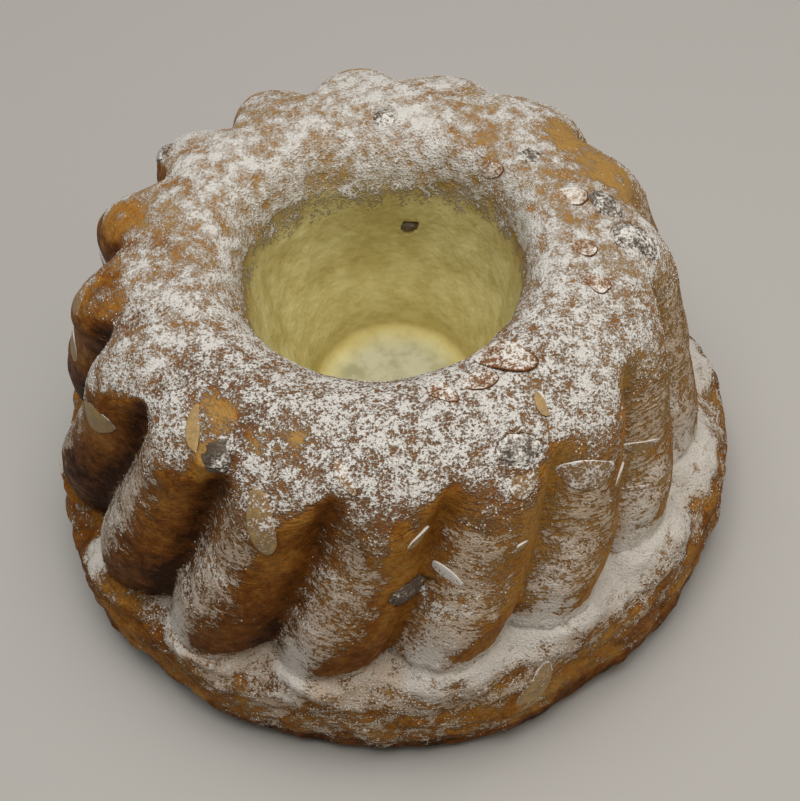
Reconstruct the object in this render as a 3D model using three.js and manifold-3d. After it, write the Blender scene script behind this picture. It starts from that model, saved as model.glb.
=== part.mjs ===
// Kugelhopf: a tall ring cake with sixteen twisted ribs, a wide blind well in its crown and a thick
// collar of risen dough round its foot. Almond flakes are baked into the crust, and raisins sit in
// sockets of their own. Millimetres, +Z up. The cake stands on z = 0 round the Z axis, and bearings
// run counter-clockwise from +X.
import * as THREE from 'three';
import { mergeVertices } from 'three/addons/utils/BufferGeometryUtils.js';
import Module from 'manifold-3d';

const wasm = await Module();
wasm.setup();

const { clamp, degToRad, smoothstep } = THREE.MathUtils;

// Ridge line of the cake, from the flat base over the crown to the floor of the well
const FLAT_R = 80;
const FOOT_R = 93.3;
const FOOT_MID_Z = 13;
const LEDGE_R = 87.5;
const LEDGE_Z = 31.5;
const WALL_R = 86.5;
const WALL_Z = 34.5;
const SHOULDER_R = 77.8;
const SHOULDER_Z = 85.9;
const CREST_R = 50;
const CREST_Z = 105;
const MOUTH_R = 36.3;
const MOUTH_Z = 92;
const FLOOR_R = 22;
const FLOOR_EDGE_Z = 44.5;
const FLOOR_Z = 42;
const WELL_SHIFT = new THREE.Vector2(2, 2);

// Handles of its curves: steps in radius and height from the points above
const FLAT_RUNS_ON = [9, 0];
const FOOT_TURNS_DOWN = [0, -7.8];
const FOOT_TURNS_UP = [0, 10];
const LEDGE_RUNS_OUT = [6, 0];
const LEDGE_RUNS_IN = [-1.2, 0];
const WALL_TURNS_DOWN = [-0.3, -2];
const WALL_BELLIES = [1.5, 17];
const SHOULDER_FALLS = [3.1, -17];
const SHOULDER_ROLLS = [-2, 11.8];
const CREST_RUNS_OUT = [13.6, 0];
const CREST_RUNS_IN = [-10, 0];
const MOUTH_ROLLS = [1.5, 6.5];
const MOUTH_FALLS = [-3, -18];
const WELL_LEANS = [4, 11.5];
const FLOOR_ROUNDS_IN = [-3, -2.5];
const FLOOR_RUNS_OUT = [8, 0];

// Ribs: each groove turns as it climbs, runs full to the shoulder and dies out on the crown
const RIB_COUNT = 16;
const RIB_DEPTH = 8.4;
const RIB_TWIST = degToRad(17.3);
const RIB_START = degToRad(-4.6);
const RIB_ROUNDNESS = 0.6;
const GROOVE_FILLET = 0.03;
const GROOVE_END = 0.53;
const CREST_RIPPLE = 0.03;

// The tall side: grooves reach further over the crown there, and the shoulder stands out
const TALL_BEARING = degToRad(123);
const TALL_NARROWNESS = 2;
const TALL_REACH = 0.34;
const TALL_SWELL = 1.9;
const SHOULDER_SWELL = 0.4;

// The mouth of the well: its lip rolls further in on one side, and the wall under it stands steep
const ROLL = 5.5;
const ROLL_BEARING = degToRad(88);
const ROLL_NARROWNESS = 11;
const ROLL_END = 0.6;

// Unevenness: the collar climbs on one side, the ribs bulge on another, and the foot is lumpy
const LEDGE_RISE = 11;
const LEDGE_TUCK = 1;
const RISE_BEARING = degToRad(-50);
const RISE_NARROWNESS = 3;
const BULGE = 5.3;
const BULGE_BEARING = degToRad(192);
const BULGE_NARROWNESS = 4;
const BULGE_FULL_Z = 48;
const BULGE_END_Z = 84;
const FOOT_LUMPS = [
  { lobes: 1, height: 1.6, bearing: degToRad(146) },
  { lobes: 2, height: 2.6, bearing: degToRad(-17) },
  { lobes: 3, height: 1.1, bearing: degToRad(0) },
  { lobes: 5, height: 0.8, bearing: degToRad(-10) },
  { lobes: 9, height: 0.5, bearing: degToRad(0) },
  { lobes: 14, height: 0.5, bearing: degToRad(5) },
];
const RIB_SWELLS = [
  { lobes: 3, height: 0.5, bearing: degToRad(40) },
  { lobes: 5, height: 0.5, bearing: degToRad(10) },
  { lobes: 7, height: 0.4, bearing: degToRad(33) },
];

// Where along a section of the ridge line a feature sets in, starts to fade or has faded
const RIBS_SET_IN = 0.4;
const LUMPS_FADE_FROM = 0.35;
const LEDGE_RISE_GONE = 0.75;
const SWELL_SETS_IN = 0.4;
const SWELL_FADES_FROM = 0.3;

// Almond flakes: thin ovals that follow the crust. A run is the way up the crust from the middle
// of the foot, and a turn leans the flake's long side from level.
const FLAKE_SIDES = 10;
const FLAKE_RISE = 0.7;
const FLAKE_DOME = 0.2;
const FLAKE_ROOT = 2.5;
const FLAKE_TAPER = 0.12;
const SHOWN_FLAKES = [
  { bearing: -53, run: 117, turn: -66, length: 18, width: 9 },
  { bearing: -63, run: 114.5, turn: -20, length: 9, width: 6 },
  { bearing: -74, run: 115.5, turn: -62, length: 9, width: 5 },
  { bearing: -99.5, run: 97, turn: -58, length: 10, width: 3 },
  { bearing: -114.5, run: 83.5, turn: 104, length: 19, width: 7 },
  { bearing: -53, run: 78, turn: -15, length: 13, width: 9 },
  { bearing: -47, run: 70, turn: 55, length: 8, width: 4 },
  { bearing: -158, run: 76, turn: 40, length: 12, width: 10 },
  { bearing: -134, run: 98, turn: 126, length: 12, width: 3.5 },
  { bearing: -87, run: 77, turn: 50, length: 9, width: 4 },
  { bearing: -68.5, run: 69.5, turn: -39, length: 5, width: 2.5 },
  { bearing: -82, run: 62, turn: -30, length: 7, width: 4.5 },
  { bearing: -35, run: 62, turn: -25, length: 12, width: 3.5 },
  { bearing: -39.5, run: 47.5, turn: -25, length: 10, width: 2.5 },
  { bearing: -55, run: 101.5, turn: 70, length: 6.5, width: 2.5 },
  { bearing: -66, run: 88, turn: 20, length: 9, width: 6 },
  { bearing: 12, run: 111, turn: 60, length: 9, width: 6 },
  { bearing: 37.5, run: 124, turn: 45, length: 8, width: 5 },
  { bearing: -18.5, run: 107, turn: 67, length: 7, width: 5 },
  { bearing: -7, run: 111, turn: 67, length: 7, width: 5 },
  { bearing: -70, run: 8, turn: 50, length: 16, width: 8 },
];

// Raisins: plump ovals pressed into the crust, their sockets a little wider. They stand proud of it
// by a share of their thickness, and their skin waves along and across.
const RAISIN_GAP = 0.3;
const RAISIN_FLATNESS = 0.62;
const RAISIN_PROUD = 0.28;
const RAISIN_WAVE = 0.08;
const RAISIN_WAVES_ALONG = 5;
const RAISIN_WAVES_ACROSS = 4;
const SHOWN_RAISINS = [
  { bearing: -2, run: 97, turn: 70, length: 13, width: 10 },
  { bearing: 8, run: 103, turn: 20, length: 11, width: 8 },
  { bearing: 31.5, run: 113.5, turn: 15, length: 7, width: 6 },
  { bearing: 82, run: 118, turn: 60, length: 8, width: 7 },
  { bearing: -64.5, run: 95.5, turn: -10, length: 12, width: 9 },
  { bearing: 138, run: 90, turn: 50, length: 7, width: 6 },
  { bearing: -89, run: 58, turn: -20, length: 13, width: 8 },
  { bearing: -126, run: 95, turn: 30, length: 10, width: 8 },
  { bearing: 74, run: 150.5, turn: 10, length: 5, width: 3.6 },
];

// Toppings of the far side, drawn by rule over the wall and crown
const FAR_SEED = 7;
const FAR_BEARINGS = [45, 195];
const FAR_RUNS = [32, 100];
const FAR_TURNS = [0, 180];
const FAR_FLAKES = { count: 11, lengths: [11, 16], widths: [6, 9] };
const FAR_RAISINS = { count: 3, lengths: [9, 12], widths: [7, 9] };
const TOPPING_SPACING = 17;
const ON_RIDGE = 0.6;
const DRAW_FACTOR = 48271;
const DRAW_MODULUS = 2147483647;

// Mesh: vertices round one rib, so that every ridge and groove has its own
const STEPS_PER_RIB = 6;
const STEPS = RIB_COUNT * STEPS_PER_RIB;
const MERGE_WITHIN = 1e-4;
const FRAME_STEP = 0.5;

const CRUST = { color: '#b57d3c', roughness: 0.8, metalness: 0 };
const RAISIN_SKIN = { color: '#3a2a20', roughness: 0.6, metalness: 0 };

// A curve between two points of the ridge line, each given with its handle
function curve(start, startHandle, endHandle, end) {
  const point = ([r, z]) => new THREE.Vector2(r, z);
  return new THREE.CubicBezierCurve(
    point(start),
    point(start).add(point(startHandle)),
    point(end).add(point(endHandle)),
    point(end),
  );
}

function waves(list, angle) {
  return list.reduce((sum, wave) => sum + wave.height * Math.cos(wave.lobes * (angle - wave.bearing)), 0);
}

// One at the given bearing and nothing opposite
function hump(angle, middle, narrowness) {
  return ((1 + Math.cos(angle - middle)) / 2) ** narrowness;
}

const tallness = (bearing) => hump(bearing, TALL_BEARING, TALL_NARROWNESS);

// Nothing in a groove and one on a ridge, with a small fillet in the groove
function ridge(ribAngle) {
  const rise = (square) => (square + GROOVE_FILLET) ** (RIB_ROUNDNESS / 2);
  const square = Math.sin((RIB_COUNT * ribAngle) / 2) ** 2;
  return (rise(square) - rise(0)) / (rise(1) - rise(0));
}

// How deep the grooves still are at a place up the crown
function crownGroove(t, bearing) {
  const reach = TALL_REACH * tallness(bearing);
  return 1 - (1 - CREST_RIPPLE) * smoothstep(t, reach, GROOVE_END + reach);
}

const climb = (z) => clamp((z - LEDGE_Z) / (CREST_Z - LEDGE_Z), 0, 1);

// The ridge line in sections. Each says how many rows of the mesh it takes, how far round the ribs
// have turned, and how much of the ribs, foot, body, ledge, shoulder, roll and well shift it takes up.
const base = {
  rows: 1,
  curve: new THREE.LineCurve(new THREE.Vector2(0, 0), new THREE.Vector2(FLAT_R, 0)),
  turn: () => 0,
  shares: () => ({}),
};
const footSide = {
  rows: 4,
  curve: curve([FLAT_R, 0], FLAT_RUNS_ON, FOOT_TURNS_DOWN, [FOOT_R, FOOT_MID_Z]),
  turn: () => 0,
  shares: (t) => ({ foot: smoothstep(t, 0, 1) }),
};
const footTop = {
  rows: 6,
  curve: curve([FOOT_R, FOOT_MID_Z], FOOT_TURNS_UP, LEDGE_RUNS_OUT, [LEDGE_R, LEDGE_Z]),
  turn: () => 0,
  shares: (t) => ({
    rib: smoothstep(t, RIBS_SET_IN, 1),
    foot: 1 - smoothstep(t, LUMPS_FADE_FROM, 1),
    body: smoothstep(t, RIBS_SET_IN, 1),
    ledge: smoothstep(t, 0, 1),
  }),
};
const crease = {
  rows: 1,
  curve: curve([LEDGE_R, LEDGE_Z], LEDGE_RUNS_IN, WALL_TURNS_DOWN, [WALL_R, WALL_Z]),
  turn: climb,
  shares: () => ({ rib: 1, body: 1, ledge: 1 }),
};
const wall = {
  rows: 7,
  curve: curve([WALL_R, WALL_Z], WALL_BELLIES, SHOULDER_FALLS, [SHOULDER_R, SHOULDER_Z]),
  turn: climb,
  shares: (t) => ({
    rib: 1,
    body: 1,
    ledge: 1 - smoothstep(t, 0, LEDGE_RISE_GONE),
    shoulder: smoothstep(t, SWELL_SETS_IN, 1),
  }),
};
const crown = {
  rows: 7,
  curve: curve([SHOULDER_R, SHOULDER_Z], SHOULDER_ROLLS, CREST_RUNS_OUT, [CREST_R, CREST_Z]),
  turn: climb,
  shares: (t, bearing) => ({
    rib: crownGroove(t, bearing),
    body: 1 - smoothstep(t, 0, 1),
    shoulder: 1 - smoothstep(t, SWELL_FADES_FROM, 1),
  }),
};
const lip = {
  rows: 4,
  curve: curve([CREST_R, CREST_Z], CREST_RUNS_IN, MOUTH_ROLLS, [MOUTH_R, MOUTH_Z]),
  turn: () => 1,
  shares: (t) => ({
    rib: CREST_RIPPLE * (1 - t),
    roll: smoothstep(t, 0, 1),
    well: smoothstep(t, 0, 1),
  }),
};
const well = {
  rows: 4,
  curve: curve([MOUTH_R, MOUTH_Z], MOUTH_FALLS, WELL_LEANS, [FLOOR_R, FLOOR_EDGE_Z]),
  turn: () => 1,
  shares: (t) => ({ roll: 1 - smoothstep(t, 0, ROLL_END), well: 1 }),
};
const floor = {
  rows: 3,
  curve: curve([FLOOR_R, FLOOR_EDGE_Z], FLOOR_ROUNDS_IN, FLOOR_RUNS_OUT, [0, FLOOR_Z]),
  turn: () => 1,
  shares: () => ({ well: 1 }),
};
const sections = [base, footSide, footTop, crease, wall, crown, lip, well, floor];
const crustSections = [footTop, crease, wall, crown, lip, well];

// A point of the cake's surface, the rib angle counted from a groove and turning with the ribs
function ribPoint(section, t, ribAngle) {
  const { x: r, y: z } = section.curve.getPoint(t);
  const bearing = ribAngle + RIB_START + RIB_TWIST * section.turn(z);
  const shares = section.shares(t, bearing);
  const { rib = 0, foot = 0, body = 0, ledge = 0, shoulder = 0, roll = 0, well: sunk = 0 } = shares;
  const rise = hump(bearing, RISE_BEARING, RISE_NARROWNESS);
  const bulge = BULGE * hump(bearing, BULGE_BEARING, BULGE_NARROWNESS)
    * (1 - smoothstep(z, BULGE_FULL_Z, BULGE_END_Z));
  const radius = r
    - rib * RIB_DEPTH * (1 - ridge(ribAngle))
    + foot * waves(FOOT_LUMPS, bearing)
    + body * (bulge + waves(RIB_SWELLS, ribAngle))
    + shoulder * (SHOULDER_SWELL + TALL_SWELL * tallness(bearing))
    - ledge * LEDGE_TUCK * rise
    - roll * ROLL * hump(bearing, ROLL_BEARING, ROLL_NARROWNESS);
  return new THREE.Vector3(
    radius * Math.cos(bearing) + sunk * WELL_SHIFT.x,
    radius * Math.sin(bearing) + sunk * WELL_SHIFT.y,
    z + ledge * LEDGE_RISE * rise,
  );
}

// The section that a run up the crust from the middle of the foot ends in, and the place along it
function crustStation(run) {
  let rest = run;
  for (const section of crustSections) {
    const length = section.curve.getLength();
    if (rest <= length) return { section, t: section.curve.getUtoTmapping(rest / length) };
    rest -= length;
  }
  throw new Error(`no crust at a run of ${run}`);
}

// The rib angle that a plain bearing has at a place up the crust
function ribAngleAt(bearing, { section, t }) {
  return bearing - RIB_START - RIB_TWIST * section.turn(section.curve.getPoint(t).y);
}

// The same surface by plain bearing and run
function crustPoint(bearing, run) {
  const station = crustStation(run);
  return ribPoint(station.section, station.t, ribAngleAt(bearing, station));
}

// Place and axes of a topping: along the bearing, up the crust and out of it
function crustFrame(bearing, run) {
  const place = crustPoint(bearing, run);
  const turn = FRAME_STEP / place.length();
  const along = crustPoint(bearing + turn, run).sub(crustPoint(bearing - turn, run));
  const up = crustPoint(bearing, run + FRAME_STEP).sub(crustPoint(bearing, run - FRAME_STEP));
  const out = new THREE.Vector3().crossVectors(along, up).normalize();
  along.normalize();
  return { place, along, up: new THREE.Vector3().crossVectors(out, along), out };
}

// Only positions, with shared vertices merged and the empty triangles at the axis left out
function closedSkin(geometry) {
  geometry.deleteAttribute('normal');
  geometry.deleteAttribute('uv');
  const skin = mergeVertices(geometry, MERGE_WITHIN);
  const corners = Array.from(skin.index.array);
  const triangles = [];
  for (let first = 0; first < corners.length; first += 3) {
    const triangle = corners.slice(first, first + 3);
    if (new Set(triangle).size === 3) triangles.push(...triangle);
  }
  skin.setIndex(triangles);
  return skin;
}

function solidOf(geometry) {
  const vertProperties = new Float32Array(geometry.getAttribute('position').array);
  const triVerts = new Uint32Array(geometry.index.array);
  return new wasm.Manifold(new wasm.Mesh({ numProp: 3, vertProperties, triVerts }));
}

function geometryOf(solid) {
  const mesh = solid.getMesh();
  const geometry = new THREE.BufferGeometry();
  geometry.setAttribute('position', new THREE.BufferAttribute(mesh.vertProperties, 3));
  geometry.setIndex(new THREE.BufferAttribute(mesh.triVerts, 1));
  geometry.computeVertexNormals();
  return geometry;
}

// The bare cake: a lathe over the rows of all sections, each vertex then set on the uneven surface
function cakeSolid() {
  const rows = sections.flatMap((section) =>
    Array.from({ length: section.rows }, (_, row) => ({ section, t: row / section.rows })));
  rows.push({ section: floor, t: 1 });
  const profile = rows.map(({ section, t }) => section.curve.getPoint(t));
  const lathe = new THREE.LatheGeometry(profile, STEPS);
  const position = lathe.getAttribute('position');
  for (let step = 0; step <= STEPS; step += 1) {
    const ribAngle = ((step % STEPS) / STEPS) * 2 * Math.PI;
    rows.forEach(({ section, t }, row) => {
      position.setXYZ(step * rows.length + row, ...ribPoint(section, t, ribAngle));
    });
  }
  return solidOf(closedSkin(lathe));
}

// An almond flake: a disc bent to the crust, its rim tapered and its root sunk into the dough
function flakeSolid({ bearing, run, turn, length, width }) {
  const middle = degToRad(bearing);
  const lean = degToRad(turn);
  const { x, y } = crustPoint(middle, run);
  const disc = new THREE.CylinderGeometry(1 - FLAKE_TAPER, 1, 1, FLAKE_SIDES);
  const position = disc.getAttribute('position');
  for (let index = 0; index < position.count; index += 1) {
    const a = (position.getX(index) * length) / 2;
    const b = (-position.getZ(index) * width) / 2;
    const along = a * Math.cos(lean) - b * Math.sin(lean);
    const up = a * Math.sin(lean) + b * Math.cos(lean);
    const { place, out } = crustFrame(middle + along / Math.hypot(x, y), run + up);
    const domed = FLAKE_RISE + (Math.hypot(a, b) < MERGE_WITHIN ? FLAKE_DOME : 0);
    place.addScaledVector(out, position.getY(index) > 0 ? domed : -FLAKE_ROOT);
    position.setXYZ(index, ...place);
  }
  return solidOf(closedSkin(disc));
}

// A raisin: an oval with a wavy skin, lying flat in the crust and standing a little proud of it
function raisinSolid({ bearing, run, turn, length, width }, gap) {
  const thickness = width * RAISIN_FLATNESS;
  const { place, along, up, out } = crustFrame(degToRad(bearing), run);
  const oval = new THREE.IcosahedronGeometry(1, 1);
  const position = oval.getAttribute('position');
  const corner = new THREE.Vector3();
  for (let index = 0; index < position.count; index += 1) {
    corner.fromBufferAttribute(position, index);
    const swell = Math.sin(RAISIN_WAVES_ALONG * corner.x + run)
      * Math.cos(RAISIN_WAVES_ACROSS * corner.y + bearing);
    position.setXYZ(index, ...corner.multiplyScalar(1 + RAISIN_WAVE * swell));
  }
  oval.scale(length / 2 + gap, width / 2 + gap, thickness / 2 + gap);
  oval.rotateZ(degToRad(turn));
  oval.applyMatrix4(new THREE.Matrix4().makeBasis(along, up, out));
  oval.translate(...place.clone().addScaledVector(out, thickness * (RAISIN_PROUD - 0.5)));
  return solidOf(closedSkin(oval));
}

// Repeatable draws between nought and one
function drawsFrom(seed) {
  let state = seed;
  return () => {
    state = (state * DRAW_FACTOR) % DRAW_MODULUS;
    return state / DRAW_MODULUS;
  };
}

// Toppings for the far side, each drawn again until it lies on a ridge and clear of the others
function farToppings({ count, lengths, widths }, taken, draw) {
  const within = ([low, high]) => low + draw() * (high - low);
  const spot = ({ bearing, run }) => crustPoint(degToRad(bearing), run);
  const found = [];
  while (found.length < count) {
    const topping = {
      bearing: within(FAR_BEARINGS),
      run: within(FAR_RUNS),
      turn: within(FAR_TURNS),
      length: within(lengths),
      width: within(widths),
    };
    const here = spot(topping);
    const clear = [...taken, ...found].every((other) => spot(other).distanceTo(here) > TOPPING_SPACING);
    const ribAngle = ribAngleAt(degToRad(topping.bearing), crustStation(topping.run));
    if (clear && ridge(ribAngle) > ON_RIDGE) found.push(topping);
  }
  return found;
}

function named(name, solid, finish) {
  const mesh = new THREE.Mesh(geometryOf(solid), new THREE.MeshStandardMaterial(finish));
  mesh.name = name;
  return mesh;
}

const draw = drawsFrom(FAR_SEED);
const raisins = [...SHOWN_RAISINS];
raisins.push(...farToppings(FAR_RAISINS, [...SHOWN_FLAKES, ...raisins], draw));
const flakes = [...SHOWN_FLAKES];
flakes.push(...farToppings(FAR_FLAKES, [...flakes, ...raisins], draw));

const crusted = wasm.Manifold.union([cakeSolid(), ...flakes.map(flakeSolid)]);
const sockets = wasm.Manifold.union(raisins.map((raisin) => raisinSolid(raisin, RAISIN_GAP)));

const kugelhopf = new THREE.Group();
kugelhopf.add(named('cake', crusted.subtract(sockets), CRUST));
raisins.forEach((raisin, index) => {
  const number = String(index + 1).padStart(2, '0');
  kugelhopf.add(named(`raisin_${number}`, raisinSolid(raisin, 0), RAISIN_SKIN));
});

export default kugelhopf;
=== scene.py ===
"""Kugelhopf: crust, crumb, almond flakes, raisins and icing sugar, on a pale floor.

Bearings run counter-clockwise from +X, and a run is the way up the crust from the middle of the foot.
"""

import math

import bmesh
import bpy
import numpy as np
from bpy.props import FloatProperty, FloatVectorProperty, IntProperty, PointerProperty
from mathutils import Matrix, Vector, noise
from mathutils.bvhtree import BVHTree


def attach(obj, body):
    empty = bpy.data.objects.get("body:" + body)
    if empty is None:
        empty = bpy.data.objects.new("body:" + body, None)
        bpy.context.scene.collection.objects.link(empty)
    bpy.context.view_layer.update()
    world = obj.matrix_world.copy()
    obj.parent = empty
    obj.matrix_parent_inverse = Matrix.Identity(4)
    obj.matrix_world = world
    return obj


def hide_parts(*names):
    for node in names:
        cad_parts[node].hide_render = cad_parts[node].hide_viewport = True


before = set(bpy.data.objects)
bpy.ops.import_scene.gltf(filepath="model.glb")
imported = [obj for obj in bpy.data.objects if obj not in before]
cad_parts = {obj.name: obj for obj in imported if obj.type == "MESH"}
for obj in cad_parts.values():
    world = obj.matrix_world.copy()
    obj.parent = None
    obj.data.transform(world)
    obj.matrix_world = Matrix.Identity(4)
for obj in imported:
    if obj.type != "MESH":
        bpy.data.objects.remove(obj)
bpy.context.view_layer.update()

bl_info = {
    "name": "Kugelhopf",
    "version": (1, 0, 0),
    "blender": (4, 5, 0),
    "location": "View3D > Sidebar > Kugelhopf",
    "description": "A ring cake with twisted ribs, dusted with icing sugar",
    "category": "Add Mesh",
}

MM = 0.001
BODY = "root"
CAKE = "cake_crust"

# Mesh of the cake: steps round it, and points that a section's length is measured with
STEPS = 384
ARC_STEPS = 200
MERGE_WITHIN = 1e-7
FRAME_STEP = 0.5 * MM

# Nearest distance that the camera sees
CLIP_START = 0.01

# Handles of the ridge line's curves: steps in radius and height from its points, in mm
FLAT_RUNS_ON = (9, 0)
FOOT_TURNS_DOWN = (0, -7.8)
FOOT_TURNS_UP = (0, 10)
LEDGE_RUNS_OUT = (6, 0)
LEDGE_RUNS_IN = (-1.2, 0)
WALL_TURNS_DOWN = (-0.3, -2)
WALL_BELLIES = (1.5, 17)
SHOULDER_FALLS = (3.1, -17)
SHOULDER_ROLLS = (-2, 11.8)
CREST_RUNS_OUT = (13.6, 0)
CREST_RUNS_IN = (-10, 0)
MOUTH_ROLLS = (1.5, 6.5)
MOUTH_FALLS = (-3, -18)
WELL_LEANS = (4, 11.5)
FLOOR_ROUNDS_IN = (-3, -2.5)
FLOOR_RUNS_OUT = (8, 0)
STRAIGHT = (0, 0)

# How narrow the tall side, the ledge's rise and the bulge are
TALL_NARROWNESS = 2
RISE_NARROWNESS = 3
BULGE_NARROWNESS = 4

# How narrow the roll of the well's lip is, and the place down the well where it ends
ROLL_NARROWNESS = 11
ROLL_END = 0.6

# Lobes, height in mm and bearing of the waves round the foot and over the ribs
FOOT_LUMPS = [(1, 1.6, 146), (2, 2.6, -17), (3, 1.1, 0), (5, 0.8, -10), (9, 0.5, 0), (14, 0.5, 5)]
RIB_SWELLS = [(3, 0.5, 40), (5, 0.5, 10), (7, 0.4, 33)]

# Sides with more or less sugar: share, bearing and narrowness
SUGAR_ZONES = [
    (0.12, 95, 3),
    (-0.06, 22, 6),
    (0.08, 203, 8),
    (-0.05, 238, 20),
    (0.14, 285, 3),
    (0.06, -10, 12),
    (-0.12, 106, 60),
    (-0.05, 176, 20),
]

# Sides that are browned, dusted or lit differently: bearing and narrowness. The shade side holds painted
# shade, with darker crust and less sugar; on the golden side steep crust and grooves are paler, partly golden
# crust and partly painted light.
NEAR_SIDE = (-92, 3)
FAR_SIDE = (100, 2)
GOLDEN_LIT_SIDE = (-25, 2)
SHADE_PAINTED_SIDE = (200, 4)
DRIFTED_SIDE = (-25, 1.5)
HEAPED_LEDGE = (-114, 14)
DUSTY_FOOT = (-110, 14)
BARE_SHOULDER = (-68, 9)

# Patches that the sugar left bare: bearing, run in mm, radius in mm, and how pale the crust is there, or
# how brown where that is less than nought
BARE_PATCHES = [
    (34, 98, 8, 1),
    (22, 97, 8, 1),
    (12, 93, 7, 1),
    (-131, 104, 6, 1),
    (-128, 92.5, 6, 1),
    (-110.5, 105, 4, 1),
    (-120.5, 102, 4, 1),
    (164, 92, 11, -0.35),
    (182, 90, 11, -0.45),
]

# Wrinkles up the steep crust: their size, how much longer than high they are, and the size of the patches
# that they lie in
WRINKLE_SIZE = 0.8 * MM
WRINKLE_STRETCH = 3.5
WRINKLE_PATCH = 8 * MM

# Sizes of the unevenness of the sugar
SUGAR_FINE = 0.6 * MM
SUGAR_SPECK = 1.3 * MM
SUGAR_CLUMP = 4 * MM
SUGAR_PATCH = 5 * MM
SUGAR_ISLAND = 16 * MM
SUGAR_SPOT = 6 * MM
SUGAR_DAB = 2.5 * MM

# Sizes of the unevenness of the crust and of the crumb
CRUST_LUMP = 17 * MM
CRUST_DENT = 5 * MM
CRUST_BLOTCH = 14 * MM
CRUST_MOTTLE = 2.4 * MM
CRUST_FLECK = 0.9 * MM
CRUST_GRAIN = 1.1 * MM
CRUST_TONE = 22 * MM
FOOT_FOLD = 9 * MM
FOOT_TONE = 8 * MM
CRUMB_STREAK = 8 * MM
CRUMB_CLOUD = 7 * MM
CRUMB_PORE = 3 * MM
CREAM_DIMPLE = 6 * MM
ALMOND_FIBRE = 1.6 * MM
RAISIN_CREASE = 1.5 * MM

# How deep the bumps of each skin are
CRUST_BUMP = 0.8 * MM
ALMOND_BUMP = 0.2 * MM
RAISIN_BUMP = 0.25 * MM

# Depths over which sugar and crust give way to crumb and the lip turns pale, and how much deeper sugar
# and higher crumb reach on the far lip
WELL_FADE = (7 * MM, 25 * MM)
LIP_FADE = (1 * MM, 8 * MM)
FAR_LIP_SUGAR = 5 * MM
FAR_LIP_CRUMB = 4 * MM

# Heights over which the base turns from dark to brown (browned crust and painted shade), sugar comes up it,
# and the painted shade on the ribs of the shade side fades out
BASE_TONE = (1 * MM, 14 * MM)
BASE_BARE = (2 * MM, 11 * MM)
SHADE_ENDS = (50 * MM, 82 * MM)

# How far the crust faces up where it goes from steep to level, from sloped to level, and from too steep
# for sugar to where sugar clings
STEEP_FACING = (0.3, 0.75)
SLOPED_FACING = (0.5, 0.9)
CLINGING_FACING = (-0.10, 0.22)

# How far the sugar in the pockets between the ribs is blown to one side, and sizes of what drifted
POCKET_SHIFT = math.radians(6)
CORNER_WAVE = 9 * MM
DRIFT_LUMP = 3.2 * MM

# How a cover of sugar is stretched so that thin sugar dies out
SUGAR_STRETCH = 1.25
SUGAR_LOSS = 0.2

# Bare patches: how ragged their edges are and how they fade, over their radius
PATCH_RAGGED = 0.8
PATCH_FADE = (0.1, 1.5)

# Torn seam: its place up the top of the foot, how far it wanders, its width and the sizes of its waves
SEAM_AT = 0.56
SEAM_WANDERS = 0.14
SEAM_WIDTH = 0.05
SEAM_WAVE = 15 * MM
SEAM_BREAK = 20 * MM

# How ragged the edges of the crumb and of the dark base are
WELL_RAGGED = 3 * MM
BASE_RAGGED = 2 * MM
BASE_WAVE = 9 * MM

# Sockets of the raisins: how ragged they are, over a raisin's size, and how wide the crust laps
SOCKET_RAGGED = 0.4
SOCKET_WAVE = 4 * MM
COLLAR_WIDTH = 0.8

# Bearing in degrees, run in mm, turn in degrees, length and width in mm, the sugar on it, and how far
# its lower edge stands up in mm, or its upper edge where that is less than nought
SHOWN_FLAKES = [
    (-53, 117, -66, 18, 9, 0.62, 0.9),
    (-63, 114.5, -20, 9, 6, 0.62, 0.5),
    (-74, 115.5, -62, 9, 5, 0.62, 0.3),
    (-99.5, 97, -58, 10, 3, 0.5, 0.1),
    (-114.5, 83.5, 104, 19, 7, 0.3, 0.3),
    (-53, 78, -15, 13, 9, 0.5, 0.15),
    (-47, 70, 55, 8, 4, 0.5, -0.6),
    (-158, 76, 40, 12, 10, 0.1, 0.25),
    (-134, 98, 126, 12, 3.5, 0.1, 0.4),
    (-87, 77, 50, 9, 4, 0.5, -0.6),
    (-68.5, 69.5, -39, 5, 2.5, 0.5, -0.5),
    (-82, 62, -30, 7, 4.5, 1.1, -0.5),
    (-35, 62, -25, 12, 3.5, 0.5, -0.6),
    (-39.5, 47.5, -25, 10, 2.5, 0.5, -0.6),
    (-55, 101.5, 70, 6.5, 2.5, 0.15, 0.4),
    (-66, 88, 20, 9, 6, 0.5, 0.1),
    (12, 111, 60, 9, 6, 0.6, 0.5),
    (37.5, 124, 45, 8, 5, 0.6, 0.5),
    (-18.5, 107, 67, 7, 5, 0.6, 0.5),
    (-7, 111, 67, 7, 5, 0.6, 0.5),
    (-70, 8, 50, 16, 8, 0.3, -0.2),
]

# The same places and sizes, and the share of a raisin's width that the crust leaves bare
SHOWN_RAISINS = [
    (-2, 97, 70, 13, 10, 0.85),
    (8, 103, 20, 11, 8, 0.85),
    (31.5, 113.5, 15, 7, 6, 0.8),
    (82, 118, 60, 8, 7, 0.75),
    (-64.5, 95.5, -10, 12, 9, 0.8),
    (138, 90, 50, 7, 6, 0.75),
    (-89, 58, -20, 13, 8, 0.9),
    (-126, 95, 30, 10, 8, 0.55),
    (74, 150.5, 10, 5, 3.6, 0.95),
]

# Toppings of the far side, drawn by rule
FAR_SEED = 7
FAR_BEARINGS = (45, 195)
FAR_RUNS = (32, 100)
FAR_TURNS = (0, 180)
FAR_FLAKES = 11
FAR_RAISINS = 3
FAR_FLAKE_SIZES = ((11, 16), (6, 9))
FAR_RAISIN_SIZES = ((9, 12), (7, 9))
FAR_FLAKE_LOOK = (0.4, -0.3)
FAR_RAISIN_BARE = 0.85
TOPPING_SPACING = 17 * MM
ON_RIDGE = 0.6
DRAW_FACTOR = 48271
DRAW_RANGE = 2147483647

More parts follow.
